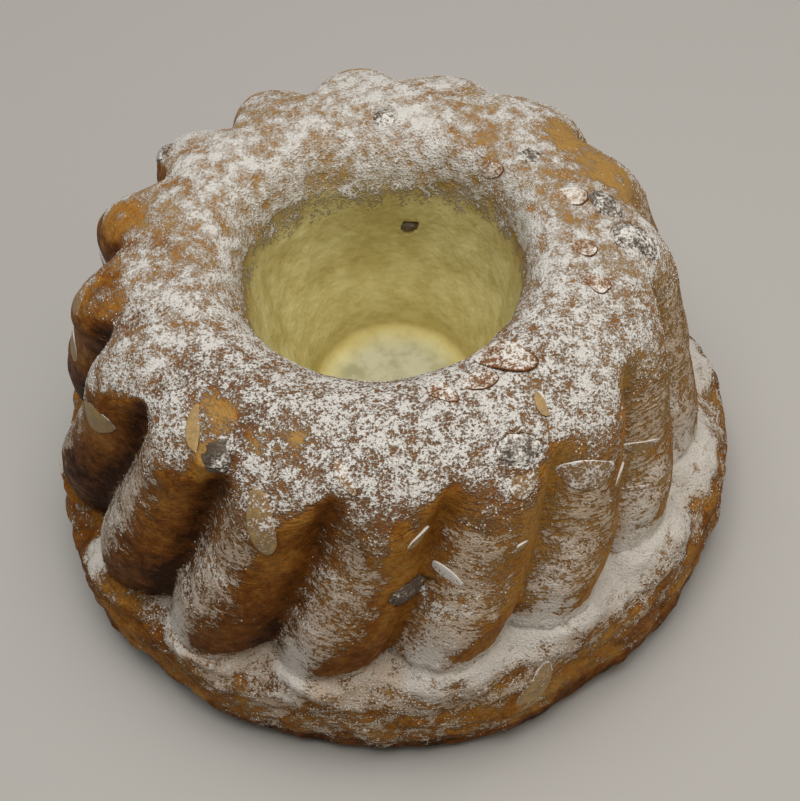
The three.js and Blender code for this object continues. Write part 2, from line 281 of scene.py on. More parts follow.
# Flakes: steps round one and through it, how pointed they are, how square their edges are, and how far
# off the crust is looked for
FLAKE_STEPS = (36, 14)
FLAKE_TIPS = (0.1, 0.22)
FLAKE_EDGE = 0.35
CRUST_SEARCH = 6 * MM

# Raisins: how often their ball is split, the size of their creases over it, and how close together the
# creases lie along a raisin, across it and through it
RAISIN_SPLITS = 5
RAISIN_WRINKLE = 0.55
RAISIN_CREASES = np.array([0.5, 1.4, 1.4])

# Lumps of sugar: the least and most that one is stretched each way, how ragged its corners are, how far
# most lumps are smaller than the largest, and how they gather where the cover is thick
GRAIN_LEAST_SHAPE = (0.8, 0.6, 0.35)
GRAIN_MOST_SHAPE = (1.4, 1.0, 0.7)
GRAIN_RAGGED = (0.75, 1.2)
GRAIN_SKEW = 2.2
GRAIN_GATHERING = 1.5


def length(name, description, default):
    return FloatProperty(name=name, description=description, default=default, unit="LENGTH", precision=4)


def angle(name, description, degrees):
    return FloatProperty(name=name, description=description, default=math.radians(degrees), unit="ROTATION")


def location(name, description, default):
    return FloatVectorProperty(name=name, description=description, default=default, subtype="XYZ")


def share(name, description, default):
    return FloatProperty(
        name=name, description=description, default=default, min=0.0, soft_max=1.0, subtype="FACTOR"
    )


def colour(name, description, default):
    return FloatVectorProperty(
        name=name, description=description, default=default, size=3, min=0.0, max=1.0, subtype="COLOR"
    )


class KugelhopfForm(bpy.types.PropertyGroup):
    """Sizes of the cake."""

    flat_radius: length("Flat radius", "Radius of the flat base", 0.080)
    foot_radius: length("Foot radius", "Radius at the middle of the foot", 0.0933)
    foot_middle: length("Foot middle", "Height of the middle of the foot", 0.013)
    ledge_radius: length("Ledge radius", "Radius of the ledge on top of the foot", 0.0875)
    ledge_height: length("Ledge height", "Height of the ledge on top of the foot", 0.0315)
    wall_radius: length("Wall radius", "Radius of the ridges where the wall starts", 0.0865)
    wall_height: length("Wall height", "Height at which the wall starts", 0.0345)
    shoulder_radius: length("Shoulder radius", "Radius of the ridges at the shoulder", 0.0778)
    shoulder_height: length("Shoulder height", "Height of the shoulder", 0.0859)
    crest_radius: length("Crest radius", "Radius of the highest ring", 0.050)
    crest_height: length("Crest height", "Height of the highest ring", 0.105)
    mouth_radius: length("Mouth radius", "Radius of the well's mouth", 0.0363)
    mouth_height: length("Mouth height", "Height of the well's mouth", 0.092)
    floor_radius: length("Floor radius", "Radius of the well's floor", 0.022)
    floor_edge: length("Floor edge", "Height at which the well's floor rounds into its wall", 0.0445)
    floor_height: length("Floor height", "Height of the well's floor", 0.042)
    well_shift: length("Well shift", "How far the well stands off the middle, in X and in Y", 0.002)
    roll: length("Roll", "How far the well's lip rolls in on one side", 0.0055)
    roll_bearing: angle("Roll bearing", "Side on which the well's lip rolls in", 88)
    rib_count: IntProperty(name="Ribs", description="Ribs round the cake", default=16, min=3)
    rib_depth: length("Rib depth", "Depth of the grooves between ribs", 0.0084)
    rib_twist: angle("Rib twist", "Turn of a rib from the ledge to the crest", 17.3)
    rib_start: angle("Rib start", "Bearing of the first groove at the ledge", -4.6)
    rib_roundness: share("Rib roundness", "Lower is rounder ribs with narrower grooves", 0.6)
    groove_fillet: share("Groove fillet", "Rounding of the groove's bottom", 0.03)
    groove_end: share("Groove end", "Place up the crown where grooves have died out", 0.53)
    crest_ripple: share("Crest ripple", "Share of the grooves that the crest keeps", 0.03)
    tall_bearing: angle("Tall side", "Side on which grooves reach further over the crown", 123)
    tall_reach: share("Tall reach", "How much further grooves reach there", 0.34)
    tall_swell: length("Tall swell", "How far the shoulder stands out there", 0.0019)
    shoulder_swell: length("Shoulder swell", "How far the shoulder stands out all round", 0.0004)
    ledge_rise: length("Ledge rise", "How far the ledge climbs on one side", 0.011)
    ledge_tuck: length("Ledge tuck", "How far the ledge draws in where it climbs", 0.001)
    rise_bearing: angle("Rise bearing", "Side on which the ledge climbs", -50)
    bulge: length("Bulge", "How far the ribs bulge on one side", 0.0053)
    bulge_bearing: angle("Bulge bearing", "Side on which the ribs bulge", 192)
    bulge_full: length("Bulge full", "Height up to which the bulge is full", 0.048)
    bulge_end: length("Bulge end", "Height at which the bulge ends", 0.084)


class KugelhopfFinish(bpy.types.PropertyGroup):
    """Relief, colours and sugar of the cake."""

    lump_height: length("Lump height", "Height of the broad lumps of the crust", 0.0007)
    dent_height: length("Dent height", "Height of the small dents of the crust", 0.00028)
    foot_height: length("Foot lumps", "Height of the lumps on the foot", 0.0014)
    crumb_height: length("Crumb lumps", "Height of the lumps in the well", 0.0006)
    seam_height: length("Seam height", "Height of the torn edge along the ledge", 0.0006)
    drift_height: length("Drift height", "How high sugar lies in the corner above the ledge", 0.0007)
    pale: colour("Pale crust", "Crust where the mould kept it pale", (0.46, 0.265, 0.08))
    golden: colour("Golden crust", "Most of the crust", (0.43, 0.19, 0.032))
    brown: colour("Brown crust", "Crust that was closest to the mould", (0.225, 0.076, 0.012))
    # This darkest tone also stands for painted shade where the base's bottom and the grooves of the shade
    # side reach it.
    dark: colour("Dark crust", "Edges that took the most heat", (0.050, 0.018, 0.006))
    crumb: colour("Crumb", "Wall of the well", (0.68, 0.62, 0.305))
    crumb_shade: colour("Crumb shade", "Streaks and hollows in the well", (0.57, 0.495, 0.205))
    cream: colour("Cream", "Floor of the well", (0.49, 0.475, 0.335))
    cream_shade: colour("Cream shade", "Hollows in the floor of the well", (0.35, 0.335, 0.21))
    # Painted shade for the corner round the well's floor.
    crumb_corner_shade: colour("Crumb hollow", "Corner round the well's floor", (0.45, 0.37, 0.13))
    # The sugared crust tone is partly painted shade between the grains of sugar.
    film: colour("Sugared crust", "Crust that shows between the grains of sugar", (0.21, 0.105, 0.055))
    veil: colour("Thin sugar", "Sugar so thin that the crust tints it", (0.64, 0.49, 0.335))
    warm_veil: colour("Steep sugar", "The thinner sugar on steep crust", (0.57, 0.355, 0.145))
    sugar: colour("Sugar", "Icing sugar", (0.84, 0.82, 0.78))
    sugar_cover: share("Sugar cover", "Share of the crown that sugar covers", 0.62)
    ledge_cover: share("Ledge cover", "Share of the ledge that sugar covers", 1.0)
    grain_least: length("Least grain", "Radius of the smallest lumps of sugar", 0.00010)
    grain_most: length("Largest grain", "Radius of the largest lumps of sugar", 0.00034)
    crown_grains: IntProperty(name="Crown grains", description="Lumps of sugar on the crown", default=18000)
    wall_grains: IntProperty(name="Wall grains", description="Lumps of sugar on the ribs", default=4000)
    ledge_grains: IntProperty(name="Ledge grains", description="Lumps of sugar on the foot", default=14000)
    seed: IntProperty(name="Seed", description="Draws the sugar and the shapes of the flakes", default=4)


class KugelhopfToppings(bpy.types.PropertyGroup):
    """Almond flakes and raisins."""

    flake_thickness: length("Flake thickness", "Thickness of an almond flake", 0.0009)
    flake_rise: length("Flake rise", "How far a flake stands out of the crust", 0.0002)
    almond: colour("Almond", "Cut face of an almond flake", (0.46, 0.31, 0.13))
    almond_edge: colour("Almond edge", "Toasted rim of a flake", (0.12, 0.042, 0.014))
    raisin_flatness: share("Raisin flatness", "Thickness of a raisin over its width", 0.62)
    raisin_proud: share("Raisin proud", "Share of its thickness that a raisin stands out", 0.28)
    raisin_gap: length("Raisin gap", "Room round a raisin in its socket", 0.00015)
    raisin_collar: length("Raisin collar", "How far the crust laps over a raisin's edge", 0.0002)
    raisin_wave: share("Raisin wave", "Height of a raisin's wrinkles over its size", 0.11)
    raisin: colour("Raisin", "Skin of a raisin", (0.10, 0.074, 0.054))
    raisin_sheen: colour("Raisin ridges", "Ridges of a raisin's skin", (0.20, 0.155, 0.11))
    raisin_bloom: colour("Raisin bloom", "Thin sugar on a raisin", (0.42, 0.38, 0.325))


class KugelhopfStage(bpy.types.PropertyGroup):
    """Floor, light and camera."""

    floor_colour: colour("Floor", "Pale floor", (0.52, 0.51, 0.49))
    floor_size: length("Floor size", "Side of the floor", 6.0)
    key_power: FloatProperty(name="Key", description="Large soft light above", default=11.2, unit="POWER")
    fill_power: FloatProperty(name="Fill", description="Soft light from one side", default=2.0, unit="POWER")
    key_colour: colour("Key colour", "Colour of the light above", (1.0, 0.97, 0.93))
    fill_colour: colour("Fill colour", "Colour of the light from one side", (1.0, 0.85, 0.64))
    key_size: length("Key size", "Side of the light above", 0.9)
    fill_size: length("Fill size", "Side of the light from one side", 1.2)
    key_place: location("Key place", "Where the light above hangs", (0.0, -0.04, 1.12))
    fill_place: location("Fill place", "Where the light from one side stands", (0.75, -0.45, 0.6))
    sky: share("Sky", "Light from all round", 0.06)
    lens: FloatProperty(name="Lens", description="Focal length in mm", default=71.37)
    sensor: FloatProperty(name="Sensor", description="Long side of the film in mm", default=36.0)
    aim: location("Aim", "Point that the camera looks at", (0.00335, 0.0, 0.0393))
    distance: length("Distance", "From the aim to the camera", 0.45)
    elevation: angle("Elevation", "How far the camera looks down", 53.9)
    roll: angle("Roll", "Turn of the camera about its own line of sight", -5.6)


def smoothstep(value, low, high):
    part = np.clip((value - low) / (high - low), 0, 1)
    return part * part * (3 - 2 * part)


def hump(bearing, middle, power):
    """One at the middle bearing and nothing opposite."""
    return ((1 + np.cos(bearing - middle)) / 2) ** power


def on_side(bearing, side):
    middle, narrowness = side
    return hump(bearing, math.radians(middle), narrowness)


def waves(rows, bearing):
    """Sum of waves of that many lobes, in metres."""
    parts = (height * np.cos(lobes * (bearing - math.radians(start))) for lobes, height, start in rows)
    return MM * sum(parts)


def tallness(form, bearing):
    return hump(bearing, form.tall_bearing, TALL_NARROWNESS)


def rough(points, size, octaves=2):
    """Noise from about -1 to 1 with features of that size."""
    return np.array([noise.fractal(point, 1.0, 2.0, octaves) for point in (points / size).tolist()])


class Section:
    """A stretch of the ridge line, with what it takes up of each unevenness."""

    def __init__(self, name, rows, start, start_handle, end_handle, end, turn, shares):
        self.name = name
        self.rows = rows
        start, end = np.array(start), np.array(end)
        self.corners = (start, start + MM * np.array(start_handle), end + MM * np.array(end_handle), end)
        self.turn = turn
        self.shares = shares
        self.places = np.linspace(0, 1, ARC_STEPS + 1)
        chords = np.diff(self.at(self.places), axis=0)
        self.runs = np.concatenate([[0], np.cumsum(np.hypot(chords[:, 0], chords[:, 1]))])

    def at(self, t):
        """Radius and height at each place along the section."""
        t = np.asarray(t, float)[:, None]
        first, second, third, last = self.corners
        left = 1 - t
        return left**3 * first + 3 * left**2 * t * second + 3 * left * t**2 * third + t**3 * last


class Cake:
    """The cake's surface by bearing and run."""

    def __init__(self, form):
        self.form = form
        self.sections = ridge_line(form)
        self.crust = [section for section in self.sections if section.name in CRUST_SECTIONS]

    def ridge(self, rib_angle):
        """Nothing in a groove and one on a ridge."""
        fillet = self.form.groove_fillet
        power = self.form.rib_roundness / 2
        low = fillet**power
        high = (1 + fillet) ** power
        square = np.sin(self.form.rib_count * rib_angle / 2) ** 2
        return ((square + fillet) ** power - low) / (high - low)

    def rib_points(self, section, t, rib_angle):
        """Points of one section, the rib angle counted from a groove and turning with the ribs."""
        form = self.form
        r, z = section.at(t).T
        bearing = rib_angle + form.rib_start + form.rib_twist * section.turn(z)
        shares = section.shares(t, bearing)
        rise = hump(bearing, form.rise_bearing, RISE_NARROWNESS)
        fade = 1 - smoothstep(z, form.bulge_full, form.bulge_end)
        bulge = form.bulge * hump(bearing, form.bulge_bearing, BULGE_NARROWNESS) * fade
        swell = form.shoulder_swell + form.tall_swell * tallness(form, bearing)
        radius = r - shares.get("rib", 0) * form.rib_depth * (1 - self.ridge(rib_angle))
        radius = radius + shares.get("foot", 0) * waves(FOOT_LUMPS, bearing)
        radius = radius + shares.get("body", 0) * (bulge + waves(RIB_SWELLS, rib_angle))
        radius = radius + shares.get("shoulder", 0) * swell
        radius = radius - shares.get("ledge", 0) * form.ledge_tuck * rise
        rolled = hump(bearing, form.roll_bearing, ROLL_NARROWNESS)
        radius = radius - shares.get("roll", 0) * form.roll * rolled
        shift = shares.get("well", 0) * form.well_shift
        height = z + shares.get("ledge", 0) * form.ledge_rise * rise
        return np.stack([radius * np.cos(bearing) + shift, radius * np.sin(bearing) + shift, height], axis=1)

    def crust_stations(self, run):
        """For each run the section it ends in and the place along it."""
        ends = np.cumsum([section.runs[-1] for section in self.crust])
        which = np.searchsorted(ends, run)
        return which, run - np.concatenate([[0], ends])[which]

    def crust_points(self, bearing, run):
        which, rest = self.crust_stations(run)
        points = np.zeros((len(run), 3))
        for index, section in enumerate(self.crust):
            mine = which == index
            if mine.any():
                t = np.interp(rest[mine], section.runs, section.places)
                turn = self.form.rib_twist * section.turn(section.at(t)[:, 1])
                points[mine] = self.rib_points(section, t, bearing[mine] - self.form.rib_start - turn)
        return points

    def crust_frames(self, bearing, run):
        """Places with their axes: along the bearing, up the crust and out of it."""
        place = self.crust_points(bearing, run)
        step = FRAME_STEP / np.linalg.norm(place, axis=1)
        along = self.crust_points(bearing + step, run) - self.crust_points(bearing - step, run)
        up = self.crust_points(bearing, run + FRAME_STEP) - self.crust_points(bearing, run - FRAME_STEP)
        out = np.cross(along, up)
        out /= np.linalg.norm(out, axis=1)[:, None]
        along /= np.linalg.norm(along, axis=1)[:, None]
        return place, along, np.cross(out, along), out

    def ridge_at(self, bearing, run):
        which, rest = self.crust_stations(np.array([run]))
        section = self.crust[which[0]]
        t = np.interp(rest, section.runs, section.places)
        turn = self.form.rib_twist * section.turn(section.at(t)[:, 1])
        return float(self.ridge(bearing - self.form.rib_start - turn)[0])


CRUST_SECTIONS = ("foot_top", "crease", "wall", "crown", "lip", "well")


def ridge_line(form):
    """The sections from the middle of the base over the crown to the middle of the well's floor."""

    def climb(z):
        return np.clip((z - form.ledge_height) / (form.crest_height - form.ledge_height), 0, 1)

    def groove(t, bearing):
        reach = form.tall_reach * tallness(form, bearing)
        return 1 - (1 - form.crest_ripple) * smoothstep(t, reach, form.groove_end + reach)

    def at_start(z):
        return 0 * z

    def at_end(z):
        return 0 * z + 1

    flat = (form.flat_radius, 0.0)
    foot = (form.foot_radius, form.foot_middle)
    ledge = (form.ledge_radius, form.ledge_height)
    wall = (form.wall_radius, form.wall_height)
    shoulder = (form.shoulder_radius, form.shoulder_height)
    crest = (form.crest_radius, form.crest_height)
    mouth = (form.mouth_radius, form.mouth_height)
    edge = (form.floor_radius, form.floor_edge)
    middle = (0.0, form.floor_height)

    def foot_top(t, bearing):
        upper = smoothstep(t, 0.4, 1)
        return {"rib": upper, "foot": 1 - smoothstep(t, 0.35, 1), "body": upper, "ledge": smoothstep(t, 0, 1)}

    def ribbed(t, bearing):
        return {"rib": 1, "body": 1, "ledge": 1 - smoothstep(t, 0, 0.75), "shoulder": smoothstep(t, 0.4, 1)}

    def crowned(t, bearing):
        swell = 1 - smoothstep(t, 0.3, 1)
        return {"rib": groove(t, bearing), "body": 1 - smoothstep(t, 0, 1), "shoulder": swell}

    def lipped(t, bearing):
        inner = smoothstep(t, 0, 1)
        return {"rib": form.crest_ripple * (1 - t), "roll": inner, "well": inner}

    def footed(t, bearing):
        return {"foot": smoothstep(t, 0, 1)}

    def creased(t, bearing):
        return {"rib": 1, "body": 1, "ledge": 1}

    def plain(t, bearing):
        return {}

    def sunk(t, bearing):
        return {"roll": 1 - smoothstep(t, 0, ROLL_END), "well": 1}

    def floored(t, bearing):
        return {"well": 1}

    return [
        Section("base", 10, (0.0, 0.0), STRAIGHT, STRAIGHT, flat, at_start, plain),
        Section("foot_side", 14, flat, FLAT_RUNS_ON, FOOT_TURNS_DOWN, foot, at_start, footed),
        Section("foot_top", 26, foot, FOOT_TURNS_UP, LEDGE_RUNS_OUT, ledge, at_start, foot_top),
        Section("crease", 4, ledge, LEDGE_RUNS_IN, WALL_TURNS_DOWN, wall, climb, creased),
        Section("wall", 54, wall, WALL_BELLIES, SHOULDER_FALLS, shoulder, climb, ribbed),
        Section("crown", 40, shoulder, SHOULDER_ROLLS, CREST_RUNS_OUT, crest, climb, crowned),
        Section("lip", 24, crest, CREST_RUNS_IN, MOUTH_ROLLS, mouth, at_end, lipped),
        Section("well", 42, mouth, MOUTH_FALLS, WELL_LEANS, edge, at_end, sunk),
        Section("floor", 20, edge, FLOOR_ROUNDS_IN, FLOOR_RUNS_OUT, middle, at_end, floored),
    ]


def draws_from(seed):
    """Repeatable draws between nought and one."""
    state = seed
    while True:
        state = state * DRAW_FACTOR % DRAW_RANGE
        yield state / DRAW_RANGE


def far_toppings(cake, count, sizes, taken, draws):
    """Toppings of the far side, each drawn again until it lies on a ridge and clear of the others."""

    def within(limits):
        return limits[0] + next(draws) * (limits[1] - limits[0])

    def spot(topping):
        return cake.crust_points(np.radians([topping[0]]), np.array([topping[1] * MM]))[0]

    found = []
    while len(found) < count:
        limits = (FAR_BEARINGS, FAR_RUNS, FAR_TURNS, *sizes)
        topping = tuple(within(limit) for limit in limits)
        place = spot(topping)
        clear = all(np.linalg.norm(spot(other) - place) > TOPPING_SPACING for other in [*taken, *found])
        if clear and cake.ridge_at(math.radians(topping[0]), topping[1] * MM) > ON_RIDGE:
            found.append(topping)
    return found


def toppings(cake):
    """All flakes and all raisins."""
    draws = draws_from(FAR_SEED)
    shown = SHOWN_FLAKES + SHOWN_RAISINS
    raisins = far_toppings(cake, FAR_RAISINS, FAR_RAISIN_SIZES, shown, draws)
    flakes = far_toppings(cake, FAR_FLAKES, FAR_FLAKE_SIZES, shown + raisins, draws)
    flakes = [(*flake, *FAR_FLAKE_LOOK) for flake in flakes]
    raisins = [(*raisin, FAR_RAISIN_BARE) for raisin in raisins]
    return SHOWN_FLAKES + flakes, SHOWN_RAISINS + raisins


def positions(mesh):
    values = np.zeros(len(mesh.vertices) * 3)
    mesh.vertices.foreach_get("co", values)
    return values.reshape(-1, 3)


def set_positions(mesh, values):
    mesh.vertices.foreach_set("co", values.ravel())
    mesh.update()


def normals(mesh):
    values = np.zeros(len(mesh.vertices) * 3)
    mesh.vertex_normals.foreach_get("vector", values)
    return values.reshape(-1, 3)


def numbers(mesh, name):
    data = mesh.attributes[name].data
    values = np.zeros(len(data))
    data.foreach_get("value", values)
    return values


def set_numbers(mesh, name, values):
    attribute = mesh.attributes.new(name, "FLOAT", "POINT")
    attribute.data.foreach_set("value", np.asarray(values, np.float32))


def show(mesh, name, material, slot, *nodes):
    """Puts a finished mesh into the scene as a smooth piece that rides on the cake."""
    mesh.polygons.foreach_set("use_smooth", np.ones(len(mesh.polygons), bool))
    mesh.materials.append(material)
    piece = bpy.data.objects.new(name, mesh)
    bpy.context.scene.collection.objects.link(piece)
    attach(piece, BODY)
    if nodes:
        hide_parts(*nodes)
    return piece


def add(tree, kind, inputs=None, **settings):
    """A shader node with its settings, its inputs linked or set."""
    node = tree.nodes.new(kind)
    for name, value in settings.items():
        setattr(node, name, value)
    for name, value in (inputs or {}).items():
        if isinstance(value, bpy.types.NodeSocket):
            tree.links.new(value, node.inputs[name])
        else:
            node.inputs[name].default_value = value
    return node


def maths(tree, operation, first, second=0.0):
    return add(tree, "ShaderNodeMath", {0: first, 1: second}, operation=operation).outputs[0]


def ramp(tree, value, low, high, start=0.0, end=1.0):
    node = add(
        tree,
        "ShaderNodeMapRange",
        {"Value": value, "From Min": low, "From Max": high, "To Min": start, "To Max": end},
        interpolation_type="SMOOTHSTEP",
    )
    return node.outputs["Result"]


def mixed(tree, factor, first, second):
    return add(tree, "ShaderNodeMix", {0: factor, 6: first, 7: second}, data_type="RGBA").outputs[2]


def opaque(rgb):
    return (*rgb, 1.0)


def place_of(tree, stretch=(1, 1, 1)):
    """Object coordinates, drawn out or pressed together along each axis."""
    place = add(tree, "ShaderNodeTexCoord").outputs["Object"]
    return add(tree, "ShaderNodeMapping", {"Vector": place, "Scale": stretch}).outputs[0]


def grainy(tree, place, size, detail=2.0, roughness=0.55):
    """Noise about one half with features of that size."""
    inputs = {"Vector": place, "Scale": 1 / size, "Detail": detail, "Roughness": roughness}
    return add(tree, "ShaderNodeTexNoise", inputs).outputs["Fac"]


def wrinkled(tree, steep):
    """Short level wrinkles where the crust is steep, about nought."""
    level = 1 / WRINKLE_STRETCH
    streaks = grainy(tree, place_of(tree, (level, level, 1)), WRINKLE_SIZE, 2.0, 0.6)
    patches = ramp(tree, grainy(tree, place_of(tree), WRINKLE_PATCH), 0.25, 0.6)
    here = maths(tree, "MULTIPLY", patches, steep)
    return maths(tree, "MULTIPLY", maths(tree, "SUBTRACT", streaks, 0.5), here)


def attribute(tree, name):
    return add(tree, "ShaderNodeAttribute", attribute_name=name).outputs["Fac"]


def noises(tree, *parts):
    """Sum of noises, each with its weight, about nought."""
    total = 0.0
    for value, weight in parts:
        around = maths(tree, "MULTIPLY", maths(tree, "SUBTRACT", value, 0.5), weight)
        total = maths(tree, "ADD", around, total)
    return total


def sugar_group():
    """Icing sugar: how thick a cover and the crust's wrinkles let it lie, its film, and its own relief."""
    name = "icing_sugar"
    if name in bpy.data.node_groups:
        return bpy.data.node_groups[name]
    tree = bpy.data.node_groups.new(name, "ShaderNodeTree")
    for socket in ("Cover", "Softness", "Wrinkle"):
        tree.interface.new_socket(socket, in_out="INPUT", socket_type="NodeSocketFloat")
    for socket in ("Mask", "Film", "Height"):
        tree.interface.new_socket(socket, in_out="OUTPUT", socket_type="NodeSocketFloat")
    given = add(tree, "NodeGroupInput").outputs
    place = place_of(tree)
    fine = grainy(tree, place, SUGAR_FINE, 2.0, 0.65)
    specks = grainy(tree, place, SUGAR_SPECK, 1.0)
    clumps = grainy(tree, place, SUGAR_CLUMP, 3.0)
    calm = ramp(tree, given["Softness"], 0.0, 1.0, 1.0, 0.3)
    sharp = maths(tree, "MULTIPLY", noises(tree, (fine, 2.8), (specks, 1.4)), calm)
    close = ramp(tree, calm, 0.3, 1.0, 0.75, 1.0)
    gathered = maths(tree, "MULTIPLY", noises(tree, (clumps, 1.9)), close)
    spread = maths(tree, "ADD", sharp, gathered)
    level = maths(tree, "ADD", maths(tree, "ADD", spread, given["Cover"]), given["Wrinkle"])
    mask = ramp(tree, level, 0.15, 0.85)
    film = ramp(tree, maths(tree, "ADD", noises(tree, (clumps, 1.2)), given["Cover"]), -0.05, 0.45)
    height = maths(tree, "MULTIPLY", mask, maths(tree, "ADD", fine, clumps))
    add(tree, "NodeGroupOutput", {"Mask": mask, "Film": film, "Height": height})
    return tree


def dusted(tree, finish, base, roughness, gloss, relief, depth, film, veil, wrinkle=0.0):
    """A Principled surface of that colour and relief, with sugar that thins out to a veil and a film."""
    inputs = {"Cover": attribute(tree, "sugar"), "Softness": attribute(tree, "soft"), "Wrinkle": wrinkle}
    dust = add(tree, "ShaderNodeGroup", inputs, node_tree=sugar_group())
    mask = dust.outputs["Mask"]
    bare = maths(tree, "SUBTRACT", 1.0, mask)
    shown = maths(tree, "SUBTRACT", 1.0, maths(tree, "MULTIPLY", mask, 0.5))
    height = maths(tree, "ADD", maths(tree, "MULTIPLY", relief, shown), dust.outputs["Height"])
    bump = add(tree, "ShaderNodeBump", {"Height": height, "Distance": depth, "Strength": 1.0})
    # The crust between the grains turns to the film colour, a darkening that is partly painted shade.
    film_and_gap_shade = maths(tree, "MULTIPLY", dust.outputs["Film"], attribute(tree, "film_and_gap_shade"))
    filmed = mixed(tree, film_and_gap_shade, base, opaque(film))
    thin = attribute(tree, "thin")
    tinted = mixed(tree, thin, opaque(veil), opaque(finish.warm_veil))
    veiling = maths(tree, "MULTIPLY", mask, ramp(tree, thin, 0.0, 1.0, 1.0, 0.6))
    veiled = mixed(tree, veiling, filmed, tinted)
    thick = ramp(tree, thin, 0.0, 1.0, 1.0, 0.38)
    piled = maths(tree, "POWER", mask, ramp(tree, thin, 0.0, 1.0, 2.5, 4.0))
    white = maths(tree, "MULTIPLY", piled, thick)
    powdery = maths(tree, "MULTIPLY", mask, 0.95)
    surface = add(
        tree,
        "ShaderNodeBsdfPrincipled",
        {
            "Base Color": mixed(tree, white, veiled, opaque(finish.sugar)),
            "Roughness": maths(tree, "ADD", maths(tree, "MULTIPLY", roughness, bare), powdery),
            "Normal": bump.outputs[0],
            "Specular IOR Level": gloss,
        },
    )
    add(tree, "ShaderNodeOutputMaterial", {"Surface": surface.outputs[0]})


def new_material(name):
    material = bpy.data.materials.new(name)
    material.use_nodes = True
    material.node_tree.nodes.clear()
    return material


def matt(tree, base, roughness, gloss):
    """A plain Principled surface."""
    inputs = {"Base Color": base, "Roughness": roughness, "Specular IOR Level": gloss}
    surface = add(tree, "ShaderNodeBsdfPrincipled", inputs)
    add(tree, "ShaderNodeOutputMaterial", {"Surface": surface.outputs[0]})


def crust_material(finish):
    """Crust from pale gold to dark brown, crumb in the well, sugar over both."""
    material = new_material("baked_crust")
    tree = material.node_tree
    place = place_of(tree)
    blotches = grainy(tree, place, CRUST_BLOTCH, 3.0)
    mottle = grainy(tree, place, CRUST_MOTTLE, 3.0, 0.6)
    flecks = grainy(tree, place, CRUST_FLECK, 2.0, 0.6)
    uneven = noises(tree, (blotches, 0.7), (mottle, 0.7), (flecks, 0.35))
    browning = maths(tree, "ADD", attribute(tree, "browning"), uneven)
    tones = add(tree, "ShaderNodeValToRGB", {"Fac": browning})
    stops = tones.color_ramp.elements
    stops[0].position = 0.08
    stops[0].color = opaque(finish.pale)
    stops[1].position = 1.0
    stops[1].color = opaque(finish.dark)
    stops.new(0.35).color = opaque(finish.golden)
    stops.new(0.64).color = opaque(finish.brown)

    inside = attribute(tree, "crumb")
    streaks = grainy(tree, place_of(tree, (1, 1, 0.8)), CRUMB_CLOUD, 4.0, 0.6)
    crumb = mixed(tree, ramp(tree, streaks, 0.3, 0.68), opaque(finish.crumb_shade), opaque(finish.crumb))
    # Painted shade in the corner round the well's floor.
    crumb = mixed(tree, attribute(tree, "corner_shade"), crumb, opaque(finish.crumb_corner_shade))
    dimples = ramp(tree, grainy(tree, place, CREAM_DIMPLE, 4.0, 0.6), 0.3, 0.6)
    cream = mixed(tree, dimples, opaque(finish.cream_shade), opaque(finish.cream))
    crumb = mixed(tree, attribute(tree, "cream"), crumb, cream)
    base = mixed(tree, inside, tones.outputs["Color"], crumb)

    roughness = ramp(tree, mottle, 0.3, 0.7, 0.36, 0.56)
    outside = maths(tree, "SUBTRACT", 1.0, inside)
    wrinkles = wrinkled(tree, attribute(tree, "steep"))
    grain = grainy(tree, place, CRUST_GRAIN, 3.0, 0.65)
    rind = maths(tree, "ADD", maths(tree, "MULTIPLY", wrinkles, 1.2), grain)
    rind = maths(tree, "MULTIPLY", rind, outside)
    pores = maths(tree, "MULTIPLY", grainy(tree, place, CRUMB_PORE, 2.0, 0.5), 0.7)
    relief = maths(tree, "ADD", rind, maths(tree, "MULTIPLY", pores, inside))
    streaked = maths(tree, "MULTIPLY", wrinkles, 2.4)
    dusted(tree, finish, base, roughness, 0.04, relief, CRUST_BUMP, finish.film, finish.veil, streaked)
    return material


def almond_material(toppings_, finish):
    """Cut almond with a toasted rim, darker on its lower side as painted shadow."""
    material = new_material("almond_flake")
    tree = material.node_tree
    fibres = grainy(tree, place_of(tree), ALMOND_FIBRE, 3.0, 0.6)
    toast_and_shadow = maths(tree, "ADD", attribute(tree, "toast_and_shadow"), maths(tree, "SUBTRACT", fibres, 0.5))
    face = mixed(tree, attribute(tree, "pale"), opaque(finish.brown), opaque(toppings_.almond))
    base = mixed(tree, ramp(tree, toast_and_shadow, 0.6, 0.9), face, opaque(toppings_.almond_edge))
    tint = ramp(tree, fibres, 0.3, 0.7, 0.75, 1.1)
    inputs = {0: 1.0, 6: base, 7: tint}
    fibrous = add(tree, "ShaderNodeMix", inputs, data_type="RGBA", blend_type="MULTIPLY").outputs[2]
    roughness = ramp(tree, fibres, 0.3, 0.7, 0.4, 0.6)
    dusted(tree, finish, fibrous, roughness, 0.2, fibres, ALMOND_BUMP, finish.film, finish.veil)
    return material


def raisin_material(toppings_, finish):
    """Dark wrinkled skin, paler on its ridges as painted sheen."""
    material = new_material("raisin_skin")
    tree = material.node_tree
    creases = grainy(tree, place_of(tree), RAISIN_CREASE, 3.0, 0.6)
    ridges = ramp(tree, maths(tree, "ADD", attribute(tree, "ridge"), creases), 0.6, 1.5)
    # The paler ridge tone is painted sheen.
    base = mixed(tree, ridges, opaque(toppings_.raisin), opaque(toppings_.raisin_sheen))
    roughness = ramp(tree, creases, 0.3, 0.7, 0.35, 0.6)
    sheen = toppings_.raisin_sheen
    dusted(tree, finish, base, roughness, 0.3, creases, RAISIN_BUMP, sheen, toppings_.raisin_bloom)
    return material


def sugar_material(finish):
    """Lumps of sugar, each of its own tint."""
    material = new_material("sugar_lumps")
    tree = material.node_tree
    shade = tuple(0.9 * part for part in finish.sugar)
    base = mixed(tree, attribute(tree, "tint"), opaque(shade), opaque(finish.sugar))
    matt(tree, base, 0.9, 0.3)
    return material


